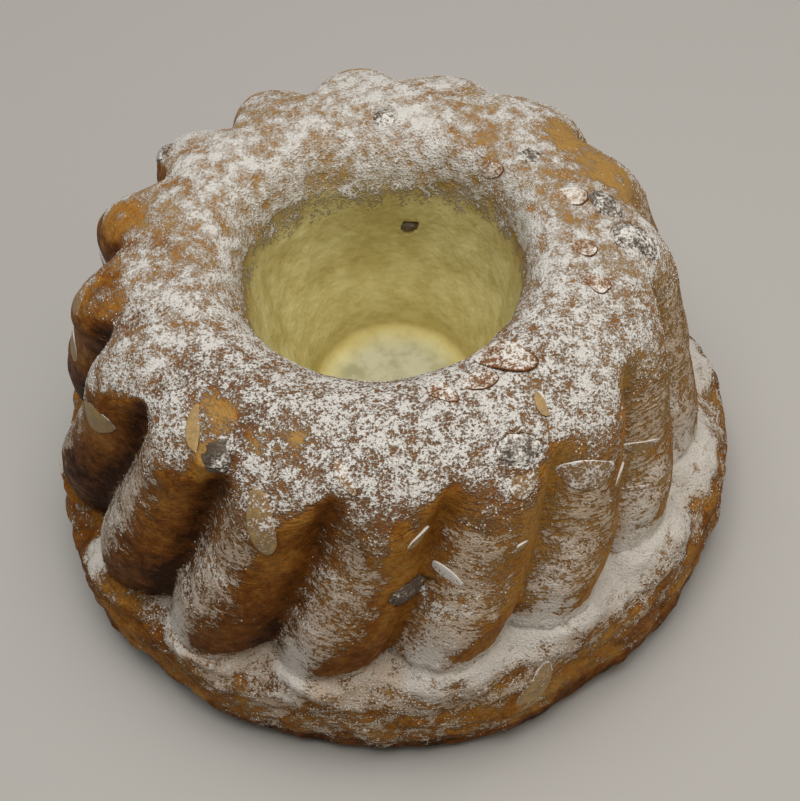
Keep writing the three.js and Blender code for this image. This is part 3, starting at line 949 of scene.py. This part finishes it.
def spun_skin(cake):
    """The ridge line spun into a closed mesh, each vertex then set on the uneven surface."""
    rows = [(section, step / section.rows) for section in cake.sections for step in range(section.rows)]
    rows.append((cake.sections[-1], 1.0))
    line = bmesh.new()
    row_of = line.verts.layers.int.new("row")
    below = None
    for index, (section, t) in enumerate(rows):
        r, z = section.at([t])[0]
        vertex = line.verts.new((r, 0, z))
        vertex[row_of] = index
        if below:
            line.edges.new((below, vertex))
        below = vertex
    bmesh.ops.spin(
        line,
        geom=line.verts[:] + line.edges[:],
        cent=(0, 0, 0),
        axis=(0, 0, 1),
        angle=2 * math.pi,
        steps=STEPS,
        use_merge=True,
    )
    bmesh.ops.remove_doubles(line, verts=line.verts, dist=MERGE_WITHIN)
    bmesh.ops.recalc_face_normals(line, faces=line.faces)
    mesh = bpy.data.meshes.new(CAKE)
    line.to_mesh(mesh)
    line.free()

    spun = positions(mesh)
    row = numbers(mesh, "row").astype(int)
    rib_angle = np.arctan2(spun[:, 1], spun[:, 0])
    t = np.array([place for _, place in rows])[row]
    section_of = np.array([cake.sections.index(section) for section, _ in rows])[row]
    placed = np.zeros_like(spun)
    for index, section in enumerate(cake.sections):
        mine = section_of == index
        placed[mine] = cake.rib_points(section, t[mine], rib_angle[mine])
    set_positions(mesh, placed)
    mesh.attributes.remove(mesh.attributes["row"])
    return Skin(cake, mesh, section_of, t, rib_angle)


def in_sections(cake, section_of, *names):
    wanted = [index for index, section in enumerate(cake.sections) if section.name in names]
    return np.isin(section_of, wanted)


class Skin:
    """The cake's mesh, where its vertices lie, and what the sugar, the oven and the painted light and shade
    go by.
    """

    def __init__(self, cake, mesh, section_of, t, rib_angle):
        self.cake = cake
        self.mesh = mesh
        self.section_of = section_of
        self.t = t
        self.smooth = positions(mesh)
        self.bearing = np.arctan2(self.smooth[:, 1], self.smooth[:, 0])
        self.ridge = cake.ridge(rib_angle)
        self.pocket = smoothstep(1 - cake.ridge(rib_angle - POCKET_SHIFT), 0.35, 0.75)
        self.near = on_side(self.bearing, NEAR_SIDE)
        self.far = on_side(self.bearing, FAR_SIDE)
        # The golden side carries painted light and the shade side painted shade.
        self.golden = on_side(self.bearing, GOLDEN_LIT_SIDE)
        self.shade_painted = on_side(self.bearing, SHADE_PAINTED_SIDE)
        self.wall = self.within("wall")
        self.foot = self.within("foot_top", "crease")
        self.base = self.within("base", "foot_side")
        self.in_well = self.within("lip", "well", "floor")
        self.corner, self.drift = drifts_of(self)
        self.seam = seam_of(self)

    def within(self, *names):
        return in_sections(self.cake, self.section_of, *names)

    def settle(self, points):
        """Takes up the points of the risen crust, without its sockets, and the way it faces."""
        outward = normals(self.mesh)
        ribbed = self.within("crease", "wall", "crown")
        self.points = points
        self.facing = outward[:, 2]
        self.lee = outward[:, 1] * np.cos(self.bearing) - outward[:, 0] * np.sin(self.bearing)
        self.steep = np.where(self.in_well, 0, 1 - smoothstep(self.facing, *STEEP_FACING))
        self.crest = np.where(ribbed, self.ridge, 1)
        self.groove = np.where(ribbed, smoothstep(1 - self.ridge, 0.3, 0.9), 0)
        self.depth = self.cake.form.crest_height - points[:, 2]
        self.ragged_depth = self.depth + WELL_RAGGED * rough(points, SUGAR_SPOT)
        self.bare, self.pale = bare_patches(self.cake, points)


def drifts_of(skin):
    """The corner between foot and ribs, and the sugar that drifted into it."""
    drifted = on_side(skin.bearing, DRIFTED_SIDE)
    width = 0.12 + 0.06 * drifted**2 + 0.2 * rough(skin.smooth, CORNER_WAVE)
    corner = np.where(skin.within("foot_top"), smoothstep(skin.t + width, 0.6, 1.0), 0.0)
    corner = np.where(skin.within("crease"), 1.0, corner)
    corner = np.where(skin.wall, 1 - smoothstep(skin.t, 0.0, 0.07), corner)
    return corner, corner * np.maximum(smoothstep(drifted, 0.5, 0.75), 0.9 * skin.pocket)


def seam_of(skin):
    """One along the torn edge that the mould's rim left on the ledge."""
    level = skin.smooth * np.array([1, 1, 0])
    line = SEAM_AT + SEAM_WANDERS * rough(level, SEAM_WAVE)
    broken = smoothstep(rough(level + 1, SEAM_BREAK), -0.25, 0.2)
    edge = np.exp(-(((skin.t - line) / SEAM_WIDTH) ** 2)) * broken
    return np.where(skin.within("foot_top"), edge, 0)


def crust_relief(skin, finish):
    """How far each vertex stands off the smooth form."""
    points = skin.smooth
    dents = finish.dent_height * rough(points, CRUST_DENT)
    lumps = finish.lump_height * rough(points, CRUST_LUMP)
    folds = finish.foot_height * rough(points * np.array([1, 1, 1.6]), FOOT_FOLD, 3)
    streaks = finish.crumb_height * rough(points * np.array([1, 1, 0.6]), CRUMB_STREAK)
    drifts = finish.drift_height * skin.drift * (0.6 + 0.8 * rough(points, DRIFT_LUMP))
    relief = skin.within("wall", "crown", "lip") * (lumps + dents)
    relief = relief + skin.within("foot_side", "foot_top", "crease") * (folds + dents)
    relief = relief + skin.within("well", "floor") * (streaks + 0.5 * dents)
    relief = np.where(skin.within("foot_side"), relief * smoothstep(skin.t, 0.25, 0.8), relief)
    return relief + drifts + finish.seam_height * skin.seam


def axes_of(cake, bearing, run, turn):
    """A topping's place, with axes along it, across it and out of the crust."""
    frames = cake.crust_frames(np.radians([bearing]), np.array([run * MM]))
    place, along, up, out = (part[0] for part in frames)
    lean = math.radians(turn)
    first = along * math.cos(lean) + up * math.sin(lean)
    second = up * math.cos(lean) - along * math.sin(lean)
    return place, first, second, out


def sink_sockets(cake, toppings_, points, raisins):
    """Presses the crust down under each raisin and laps it over the raisin's edge."""
    points = points.copy()
    for bearing, run, turn, long, wide, bare in raisins:
        place, first, second, out = axes_of(cake, bearing, run, turn)
        thick = wide * MM * toppings_.raisin_flatness
        middle = thick * (toppings_.raisin_proud - 0.5)
        off = points - place
        ring = np.hypot(off @ first / (long * MM / 2), off @ second / (wide * MM / 2))
        close = np.linalg.norm(off, axis=1) < long * MM
        ring[close] += SOCKET_RAGGED * rough(points[close], SOCKET_WAVE)
        height = off @ out
        level = np.abs(height) < thick
        belly = thick / 2 * np.sqrt(np.clip(1 - (ring / bare) ** 2, 0, 1))
        floor = middle - belly - toppings_.raisin_gap
        under = (ring < bare) & level & (height > floor)
        points[under] += np.outer(floor[under] - height[under], out)
        lap = max(middle + thick / 2 * math.sqrt(1 - bare**2), 0) + toppings_.raisin_collar
        beside = (ring >= bare) & level
        points[beside] += np.outer(lap * (1 - smoothstep(ring[beside], bare, bare + COLLAR_WIDTH)), out)
    return points


def bare_patches(cake, points):
    """How bare the sugar left each point, and how much paler the crust is there."""
    bare = np.zeros(len(points))
    pale = np.zeros(len(points))
    for bearing, run, radius, paleness in BARE_PATCHES:
        place = cake.crust_points(np.radians([bearing]), np.array([run * MM]))[0]
        off = np.linalg.norm(points - place, axis=1) / (radius * MM)
        close = off < 2
        off[close] += PATCH_RAGGED * rough(points[close], SUGAR_PATCH)
        patch = 1 - smoothstep(off, *PATCH_FADE)
        pale = np.where(patch > bare, paleness * patch, pale)
        bare = np.maximum(bare, patch)
    return bare, pale


def sugar_cover(finish, facing, points):
    """Share of the surface that sugar covers, more where it faces up and on the sides that got more."""
    bearing = np.arctan2(points[:, 1], points[:, 0])
    zone = finish.sugar_cover
    for more, *side in SUGAR_ZONES:
        zone = zone + more * on_side(bearing, side)
    patches = 0.6 * rough(points, SUGAR_ISLAND) + 0.4 * rough(points, SUGAR_SPOT)
    return smoothstep(facing, *CLINGING_FACING) * (zone + 0.22 * patches)


def set_sugar(mesh, cover):
    """Keeps a cover on the mesh, stretched so that thin sugar dies out."""
    set_numbers(mesh, "sugar", SUGAR_STRETCH * cover - SUGAR_LOSS)


def raise_crust(skin, finish, toppings_):
    """Moves the smooth skin out to its relief, no lower than the base, with a socket under each raisin."""
    relief = crust_relief(skin, finish)
    points = skin.smooth + normals(skin.mesh) * relief[:, None]
    points[:, 2] = np.maximum(points[:, 2], 0)
    raisins = toppings(skin.cake)[1]
    set_positions(skin.mesh, sink_sockets(skin.cake, toppings_, points, raisins))
    skin.settle(points)


def foot_covers(skin):
    """Covers of the ledge and of the base, in patches."""
    patches = 0.6 * rough(skin.points, SUGAR_SPOT) + 0.3 * rough(skin.points, SUGAR_DAB)
    patches = patches + 0.35 * skin.near + 0.3 * on_side(skin.bearing, DUSTY_FOOT)
    # Less sugar on the shade side, as painted shade.
    patches = patches - 0.15 * skin.shade_painted - 0.25
    climbed = np.where(skin.corner < 1, smoothstep(skin.t, 0, 0.9), 1)
    on_foot = 0.08 + 0.22 * skin.golden + 0.45 * climbed + patches
    on_base = (0.06 + patches) * smoothstep(skin.points[:, 2], *BASE_BARE)
    return on_foot, on_base


def dust_crust(skin, finish):
    """Lays the sugar: how much there is, how thin and how soft it lies, and how far the crust between its
    grains darkens, partly as painted shade.
    """
    rim = skin.ragged_depth - FAR_LIP_SUGAR * skin.far
    well = np.where(skin.in_well, smoothstep(rim, *WELL_FADE), 0)
    # Sugar is kept off flanks in the lee and, as painted shade, off more of the shade side's flanks and the
    # near side's grooves.
    lee = skin.lee + 0.28 * skin.shade_painted + 0.3 * rough(skin.points, SUGAR_PATCH)
    lee_and_shade_bare = skin.steep * smoothstep(lee, 0.0, 0.62)
    lee_and_shade_bare = np.maximum(lee_and_shade_bare, 0.6 * skin.groove * skin.near * skin.steep)
    cover = sugar_cover(finish, skin.facing, skin.points)
    cover = cover * (1 - lee_and_shade_bare) * (1 - 0.7 * skin.bare) * (1 - well)

    sloped = 1 - smoothstep(skin.facing, *SLOPED_FACING)
    shoulder = on_side(skin.bearing, BARE_SHOULDER) * (1 - skin.wall) * (1 - well)
    cover = cover - 0.3 * sloped * shoulder
    windward = 1 - smoothstep(skin.lee, -0.4, 0.0)
    fan = (1 - smoothstep(skin.t, 0.05, 0.5)) * (1 - smoothstep(skin.lee, -0.45, 0.0))
    blown = 0.35 * fan + 0.1 * windward - 0.1 * skin.golden * skin.steep
    cover = np.where(skin.wall, cover + blown, cover)
    on_foot, on_base = foot_covers(skin)
    cover = np.where(skin.foot, on_foot, cover)
    cover = np.where(skin.base, on_base, cover)
    thick = finish.ledge_cover + 0.35 * rough(skin.points, SUGAR_PATCH)
    heaped = np.maximum(skin.drift, 0.7 * skin.corner * on_side(skin.bearing, HEAPED_LEDGE))
    cover = cover + heaped * (thick - cover)
    cover = np.maximum(cover, 0.6 * smoothstep(skin.seam, 0.3, 0.9))
    set_sugar(skin.mesh, cover - 0.32 * well)

    piled = np.maximum(0.6 * skin.drift, 0.6 * skin.wall * fan * skin.pocket)
    thin = np.maximum(skin.steep, 0.8 * (skin.foot | skin.base)) * (1 - piled)
    crown = skin.within("crown", "lip")
    soft = np.maximum(0.5 * thin, 0.8 * crown * (1 - skin.near))
    soft = np.maximum(soft, np.maximum(0.85 * skin.drift, well))
    set_numbers(skin.mesh, "thin", thin)
    set_numbers(skin.mesh, "soft", soft)
    # How far the crust between the grains darkens, partly as painted shade, most on the crown's near side.
    set_numbers(skin.mesh, "film_and_gap_shade", np.where(crown, 0.15 + 0.6 * skin.near, 0.12))


def brown_crust(skin):
    """Sets the crust's browning: darkest at the base and in grooves, both partly painted shade, palest on the
    lip and in pale patches.
    """
    # Painted shade darkens the shade side, most low down; painted light makes steep crust on the golden side
    # paler.
    shade = 0.32 - 0.3 * smoothstep(skin.points[:, 2], *SHADE_ENDS)
    brown = 0.44 + 0.12 * skin.crest + 0.18 * rough(skin.points, CRUST_TONE)
    brown = brown + shade * skin.shade_painted - 0.4 * skin.golden * skin.steep - 0.5 * skin.pale
    brown = brown - 0.28 * (1 - skin.steep) * (1 - skin.near)
    # Painted shade in the grooves: deepest on the shade and near sides, lifted by painted light on the golden
    # side.
    groove_shade = 0.35 * skin.shade_painted + 0.25 * skin.near - 0.2 * skin.golden
    brown = brown + skin.groove * groove_shade + 0.1 * skin.near * skin.steep
    uneven = 0.25 * rough(skin.points, FOOT_TONE)
    # The foot is paler on the near side and, as painted light, on the golden side.
    brown = np.where(skin.foot, 0.56 + uneven - 0.1 * skin.near - 0.08 * skin.golden, brown)
    # The base darkens towards its bottom, partly browned crust and partly painted shade.
    height = skin.points[:, 2] + BASE_RAGGED * rough(skin.points, BASE_WAVE)
    low = 1.06 - 0.42 * smoothstep(height, *BASE_TONE)
    brown = np.where(skin.base, low + uneven, brown)
    lip = brown - 0.6 * smoothstep(skin.depth, *LIP_FADE)
    set_numbers(skin.mesh, "browning", np.where(skin.in_well, lip, brown))


def show_crumb(skin):
    """Lets the crumb show in the well, with painted shade in the corner round its floor and a creamy middle.
    """
    reached = skin.ragged_depth + FAR_LIP_CRUMB * skin.far
    set_numbers(skin.mesh, "crumb", np.where(skin.in_well, smoothstep(reached, *WELL_FADE), 0))
    floor = skin.within("floor")
    # Painted shade in the corner where the well's wall meets its floor.
    ring = np.where(floor, 1 - smoothstep(skin.t, 0.0, 0.3), 0)
    ring = np.where(skin.within("well"), smoothstep(skin.t, 0.7, 1.0), ring)
    set_numbers(skin.mesh, "corner_shade", 0.8 * ring)
    blurred = skin.t + 0.06 * rough(skin.points, CREAM_DIMPLE)
    set_numbers(skin.mesh, "cream", np.where(floor, smoothstep(blurred, 0.05, 0.5), 0))


class KUGELHOPF_OT_bake(bpy.types.Operator):
    """Make the cake: its ribs, foot and well, with crust and crumb"""

    bl_idname = "kugelhopf.bake"
    bl_label = "Bake the cake"

    def execute(self, context):
        scene = context.scene
        finish = scene.kugelhopf_finish
        skin = spun_skin(Cake(scene.kugelhopf_form))
        raise_crust(skin, finish, scene.kugelhopf_toppings)
        dust_crust(skin, finish)
        brown_crust(skin)
        show_crumb(skin)
        set_numbers(skin.mesh, "steep", skin.steep)
        set_numbers(skin.mesh, "station", skin.section_of)
        show(skin.mesh, CAKE, crust_material(finish), "crust", "cake")
        return {"FINISHED"}


def flake_outline(ball, long, wide, draws):
    """The points of a ball spread along and across an almond flake, pointed at one end."""
    phi = np.arctan2(ball[:, 1], ball[:, 0])
    tip = draws.uniform(*FLAKE_TIPS)
    bend = draws.uniform(0, 2 * math.pi, 2)
    edge = 1 - tip * np.sin(phi) ** 2 * np.cos(phi) + 0.05 * np.sin(3 * phi + bend[0])
    edge = edge + 0.025 * np.sin(5 * phi + bend[1])
    return ball[:, 0] * edge * long * MM / 2, ball[:, 1] * edge * wide * MM / 2


def crust_heights(tree, places, out):
    """How far the crust stands out of the smooth form at each place."""
    heights = np.zeros(len(places))
    for index, (place, way) in enumerate(zip(places, out)):
        start = Vector(place + way * CRUST_SEARCH)
        hit = tree.ray_cast(start, Vector(-way), 2 * CRUST_SEARCH)[0]
        heights[index] = 0 if hit is None else (np.array(hit) - place) @ way
    return heights


def dust_flakes(mesh):
    """Toasts the rims of the flakes, darker on their lower side as painted shadow, and lays sugar on them."""
    points = positions(mesh)
    dust = numbers(mesh, "dust")
    rim = smoothstep(numbers(mesh, "rim"), 0.9, 0.98)
    below = smoothstep(numbers(mesh, "low"), -0.2, 0.5)
    level = smoothstep(numbers(mesh, "lean"), 0.25, 0.6)
    cover = dust * smoothstep(normals(mesh)[:, 2], -0.2, 0.3) * (1 - rim * below)
    cover = cover + 0.8 * rim * (1 - below) * (1 - level)
    near = on_side(np.arctan2(points[:, 1], points[:, 0]), NEAR_SIDE)
    set_sugar(mesh, cover)
    # The rim is browned all round; the extra darkening on its lower side is painted shadow.
    set_numbers(mesh, "toast_and_shadow", rim * (0.35 + 0.65 * below))
    set_numbers(mesh, "pale", 1 - smoothstep(dust, 0.52, 0.6))
    # Flakes darken between the grains too, partly as painted shade.
    set_numbers(mesh, "film_and_gap_shade", np.full(len(dust), 0.7))
    set_numbers(mesh, "soft", 0.8 * (1 - near))


class KUGELHOPF_OT_lay_flakes(bpy.types.Operator):
    """Lay the almond flakes into the crust"""

    bl_idname = "kugelhopf.lay_flakes"
    bl_label = "Lay the almond flakes"

    def execute(self, context):
        scene = context.scene
        sizes = scene.kugelhopf_toppings
        finish = scene.kugelhopf_finish
        cake = Cake(scene.kugelhopf_form)
        draws = np.random.default_rng(finish.seed)
        crust = bpy.data.objects[CAKE].data
        faces = [list(face.vertices) for face in crust.polygons]
        crust_tree = BVHTree.FromPolygons(positions(crust).tolist(), faces)
        together = bmesh.new()
        layers = [together.verts.layers.float.new(name) for name in ("rim", "dust", "lean", "low")]
        around, through = FLAKE_STEPS
        for bearing, run, turn, long, wide, dust, lift in toppings(cake)[0]:
            plate = bmesh.ops.create_uvsphere(together, u_segments=around, v_segments=through, radius=1.0)
            vertices = plate["verts"]
            ball = np.array([vertex.co[:] for vertex in vertices])
            a, b = flake_outline(ball, long, wide, draws)
            lean = math.radians(turn)
            along = a * math.cos(lean) - b * math.sin(lean)
            up = a * math.sin(lean) + b * math.cos(lean)
            middle = cake.crust_points(np.radians([bearing]), np.array([run * MM]))[0]
            bearings = math.radians(bearing) + along / math.hypot(middle[0], middle[1])
            place, _, _, out = cake.crust_frames(bearings, run * MM + up)
            ground = crust_heights(crust_tree, place, out)
            body = np.sign(ball[:, 2]) * np.abs(ball[:, 2]) ** FLAKE_EDGE * sizes.flake_thickness / 2
            level = 0.5 * ground + 0.5 * ground.mean() + sizes.flake_rise - sizes.flake_thickness / 2 + body
            low = -up / np.abs(up).max()
            level = level + MM * np.where(lift > 0, lift * (0.5 + 0.5 * low), lift * low)
            spread = place + out * level[:, None]
            rim = np.hypot(ball[:, 0], ball[:, 1])
            looks = np.stack([rim, np.full(len(ball), dust), out[:, 2], low], axis=1)
            for vertex, point, values in zip(vertices, spread, looks):
                vertex.co = point
                for layer, value in zip(layers, values):
                    vertex[layer] = value
        bmesh.ops.recalc_face_normals(together, faces=together.faces)
        mesh = bpy.data.meshes.new("almond_flakes")
        together.to_mesh(mesh)
        together.free()
        mesh.update()
        dust_flakes(mesh)
        show(mesh, "almond_flakes", almond_material(sizes, finish), "crust", "cake")
        return {"FINISHED"}


def raisin_skin(name, number, raisin, cake, sizes, finish):
    """A ball wrinkled, flattened and set into the crust."""
    bearing, run, turn, long, wide, _ = raisin
    ball = bmesh.new()
    bmesh.ops.create_icosphere(ball, subdivisions=RAISIN_SPLITS, radius=1.0)
    mesh = bpy.data.meshes.new(name)
    ball.to_mesh(mesh)
    ball.free()
    skin = positions(mesh)
    wrinkle = np.abs(rough(skin * RAISIN_CREASES + number, RAISIN_WRINKLE, 3))
    skin *= (1.04 - sizes.raisin_wave * (1 - 2.2 * wrinkle).clip(0, 1))[:, None]
    thick = wide * MM * sizes.raisin_flatness
    place, first, second, out = axes_of(cake, bearing, run, turn)
    middle = place + out * thick * (sizes.raisin_proud - 0.5)
    halves = np.array([long * MM / 2, wide * MM / 2, thick / 2])
    points = middle + (skin * halves) @ np.array([first, second, out])
    set_positions(mesh, points)
    shelter = 0.5 + 0.5 * smoothstep(out[2], 0.2, 0.6)
    bare = bare_patches(cake, points)[0]
    cover = shelter * sugar_cover(finish, normals(mesh)[:, 2], points) * (1 - 0.6 * bare) - 0.1
    in_well = cake.crust_stations(np.array([run * MM]))[0][0] == len(CRUST_SECTIONS) - 1
    set_sugar(mesh, np.zeros(len(points)) if in_well else cover)
    set_numbers(mesh, "ridge", wrinkle)
    set_numbers(mesh, "soft", np.full(len(points), 0.5))
    return mesh


class KUGELHOPF_OT_set_raisins(bpy.types.Operator):
    """Set a wrinkled raisin into each socket"""

    bl_idname = "kugelhopf.set_raisins"
    bl_label = "Set the raisins"

    def execute(self, context):
        scene = context.scene
        sizes = scene.kugelhopf_toppings
        finish = scene.kugelhopf_finish
        cake = Cake(scene.kugelhopf_form)
        material = raisin_material(sizes, finish)
        for number, raisin in enumerate(toppings(cake)[1], 1):
            node = f"raisin_{number:02d}"
            name = f"{node}_skin"
            show(raisin_skin(name, number, raisin, cake, sizes, finish), name, material, "raisin", node)
        return {"FINISHED"}


def spots_on(mesh, weights, count, draws):
    """Places and normals spread over a mesh, more where the weights are high."""
    mesh.calc_loop_triangles()
    corners = np.zeros(len(mesh.loop_triangles) * 3, int)
    mesh.loop_triangles.foreach_get("vertices", corners)
    # A spun mesh keeps its faces in no fixed order, so its triangles are sorted by their vertices
    corners = np.sort(corners.reshape(-1, 3), axis=1)
    corners = corners[np.lexsort(corners.T)]
    points = positions(mesh)[corners]
    areas = np.linalg.norm(np.cross(points[:, 1] - points[:, 0], points[:, 2] - points[:, 0]), axis=1)
    chance = areas * weights[corners].mean(axis=1)
    chosen = draws.choice(len(corners), count, p=chance / chance.sum())
    mix = draws.dirichlet((1, 1, 1), count)
    places = np.einsum("ij,ijk->ik", mix, points[chosen])
    out = np.einsum("ij,ijk->ik", mix, normals(mesh)[corners[chosen]])
    return places, out / np.linalg.norm(out, axis=1)[:, None]


def lumps_of_sugar(name, places, out, radii, draws):
    """One mesh of flattened lumps, each turned its own way."""
    ball = bmesh.new()
    bmesh.ops.create_uvsphere(ball, u_segments=4, v_segments=2, radius=1.0)
    corner = np.array([vertex.co[:] for vertex in ball.verts])
    faces = np.array([[vertex.index for vertex in face.verts] for face in ball.faces])
    ball.free()
    count = len(places)
    side = np.cross(out, draws.normal(size=(count, 3)))
    side /= np.linalg.norm(side, axis=1)[:, None]
    other = np.cross(out, side)
    sizes = radii[:, None] * draws.uniform(GRAIN_LEAST_SHAPE, GRAIN_MOST_SHAPE, (count, 3))
    axes = np.stack([side, other, out], axis=1) * sizes[:, :, None]
    ragged = corner[None] * draws.uniform(*GRAIN_RAGGED, (count, len(corner), 1))
    points = places[:, None] + np.einsum("nvi,nij->nvj", ragged, axes)
    first = np.arange(count)[:, None, None] * len(corner)
    mesh = bpy.data.meshes.new(name)
    mesh.from_pydata(points.reshape(-1, 3), [], (faces[None] + first).reshape(-1, 3))
    mesh.update()
    set_numbers(mesh, "tint", np.repeat(draws.uniform(0, 1, count), len(corner)))
    return mesh


class KUGELHOPF_OT_dust(bpy.types.Operator):
    """Dust the cake with lumps of icing sugar"""

    bl_idname = "kugelhopf.dust"
    bl_label = "Dust with icing sugar"

    def execute(self, context):
        scene = context.scene
        finish = scene.kugelhopf_finish
        cake = Cake(scene.kugelhopf_form)
        draws = np.random.default_rng(finish.seed)
        mesh = bpy.data.objects[CAKE].data
        station = numbers(mesh, "station").astype(int)
        cover = np.clip(numbers(mesh, "sugar"), 0, 1)
        points = positions(mesh)
        bunched = np.clip(0.5 + 1.3 * rough(points, SUGAR_CLUMP), 0, 1.6)
        material = sugar_material(finish)
        areas = (
            ("sugar_crown", finish.crown_grains, ("crown", "lip")),
            ("sugar_wall", finish.wall_grains, ("wall",)),
            ("sugar_ledge", finish.ledge_grains, ("foot_side", "foot_top", "crease")),
        )
        for name, count, names in areas:
            weights = np.where(in_sections(cake, station, *names), cover**GRAIN_GATHERING * bunched, 0)
            places, out = spots_on(mesh, weights, count, draws)
            spread = draws.uniform(0, 1, count) ** GRAIN_SKEW
            radii = finish.grain_least + (finish.grain_most - finish.grain_least) * spread
            show(lumps_of_sugar(name, places, out, radii, draws), name, material, "crust")
        return {"FINISHED"}


class KUGELHOPF_OT_set_stage(bpy.types.Operator):
    """Set the floor, the lights and the camera"""

    bl_idname = "kugelhopf.set_stage"
    bl_label = "Set the stage"

    def execute(self, context):
        scene = context.scene
        stage = scene.kugelhopf_stage
        sheet = bmesh.new()
        bmesh.ops.create_grid(sheet, x_segments=1, y_segments=1, size=stage.floor_size / 2)
        mesh = bpy.data.meshes.new("floor")
        sheet.to_mesh(mesh)
        sheet.free()
        material = new_material("pale_floor")
        matt(material.node_tree, opaque(stage.floor_colour), 0.9, 0.1)
        mesh.materials.append(material)
        floor = bpy.data.objects.new("floor", mesh)
        scene.collection.objects.link(floor)

        self.light("key_light", stage.key_power, stage.key_colour, stage.key_size, stage.key_place)
        self.light("fill_light", stage.fill_power, stage.fill_colour, stage.fill_size, stage.fill_place)
        world = bpy.data.worlds.new("studio")
        world.use_nodes = True
        scene.world = world
        sky = world.node_tree.nodes["Background"]
        sky.inputs["Color"].default_value = (1, 1, 1, 1)
        sky.inputs["Strength"].default_value = stage.sky
        scene.view_settings.view_transform = "Standard"
        self.camera(scene, stage)
        return {"FINISHED"}

    def light(self, name, power, tint, size, place):
        lamp = bpy.data.lights.new(name, "AREA")
        lamp.energy = power
        lamp.size = size
        lamp.color = tint
        holder = bpy.data.objects.new(name, lamp)
        bpy.context.scene.collection.objects.link(holder)
        holder.location = place
        holder.rotation_euler = (-Vector(place)).to_track_quat("-Z", "Y").to_euler()

    def camera(self, scene, stage):
        lens = bpy.data.cameras.new("camera")
        lens.lens = stage.lens
        lens.sensor_width = stage.sensor
        lens.clip_start = CLIP_START
        camera = bpy.data.objects.new("camera", lens)
        scene.collection.objects.link(camera)
        high = stage.elevation
        back = Vector((0, -math.cos(high), math.sin(high)))
        upright = Vector((0, math.sin(high), math.cos(high)))
        right = Vector((1, 0, 0))
        across = math.cos(stage.roll) * right + math.sin(stage.roll) * upright
        up = math.cos(stage.roll) * upright - math.sin(stage.roll) * right
        turn = Matrix((across, up, back)).transposed().to_4x4()
        camera.matrix_world = Matrix.Translation(Vector(stage.aim) + stage.distance * back) @ turn
        scene.camera = camera


class KUGELHOPF_PT_panel(bpy.types.Panel):
    """Steps that make the cake, in order"""

    bl_idname = "KUGELHOPF_PT_panel"
    bl_label = "Kugelhopf"
    bl_space_type = "VIEW_3D"
    bl_region_type = "UI"
    bl_category = "Kugelhopf"

    def draw(self, context):
        for operator in OPERATORS:
            self.layout.operator(operator.bl_idname)


GROUPS = {
    "kugelhopf_form": KugelhopfForm,
    "kugelhopf_finish": KugelhopfFinish,
    "kugelhopf_toppings": KugelhopfToppings,
    "kugelhopf_stage": KugelhopfStage,
}
OPERATORS = (
    KUGELHOPF_OT_bake,
    KUGELHOPF_OT_lay_flakes,
    KUGELHOPF_OT_set_raisins,
    KUGELHOPF_OT_dust,
    KUGELHOPF_OT_set_stage,
)
CLASSES = (*GROUPS.values(), *OPERATORS, KUGELHOPF_PT_panel)


def register():
    for each in CLASSES:
        bpy.utils.register_class(each)
    for name, group in GROUPS.items():
        setattr(bpy.types.Scene, name, PointerProperty(type=group))


def unregister():
    for name in GROUPS:
        delattr(bpy.types.Scene, name)
    for each in reversed(CLASSES):
        bpy.utils.unregister_class(each)


def main():
    register()
    bpy.ops.kugelhopf.bake()
    bpy.ops.kugelhopf.lay_flakes()
    bpy.ops.kugelhopf.set_raisins()
    bpy.ops.kugelhopf.dust()
    bpy.ops.kugelhopf.set_stage()


if __name__ == "__main__":
    main()
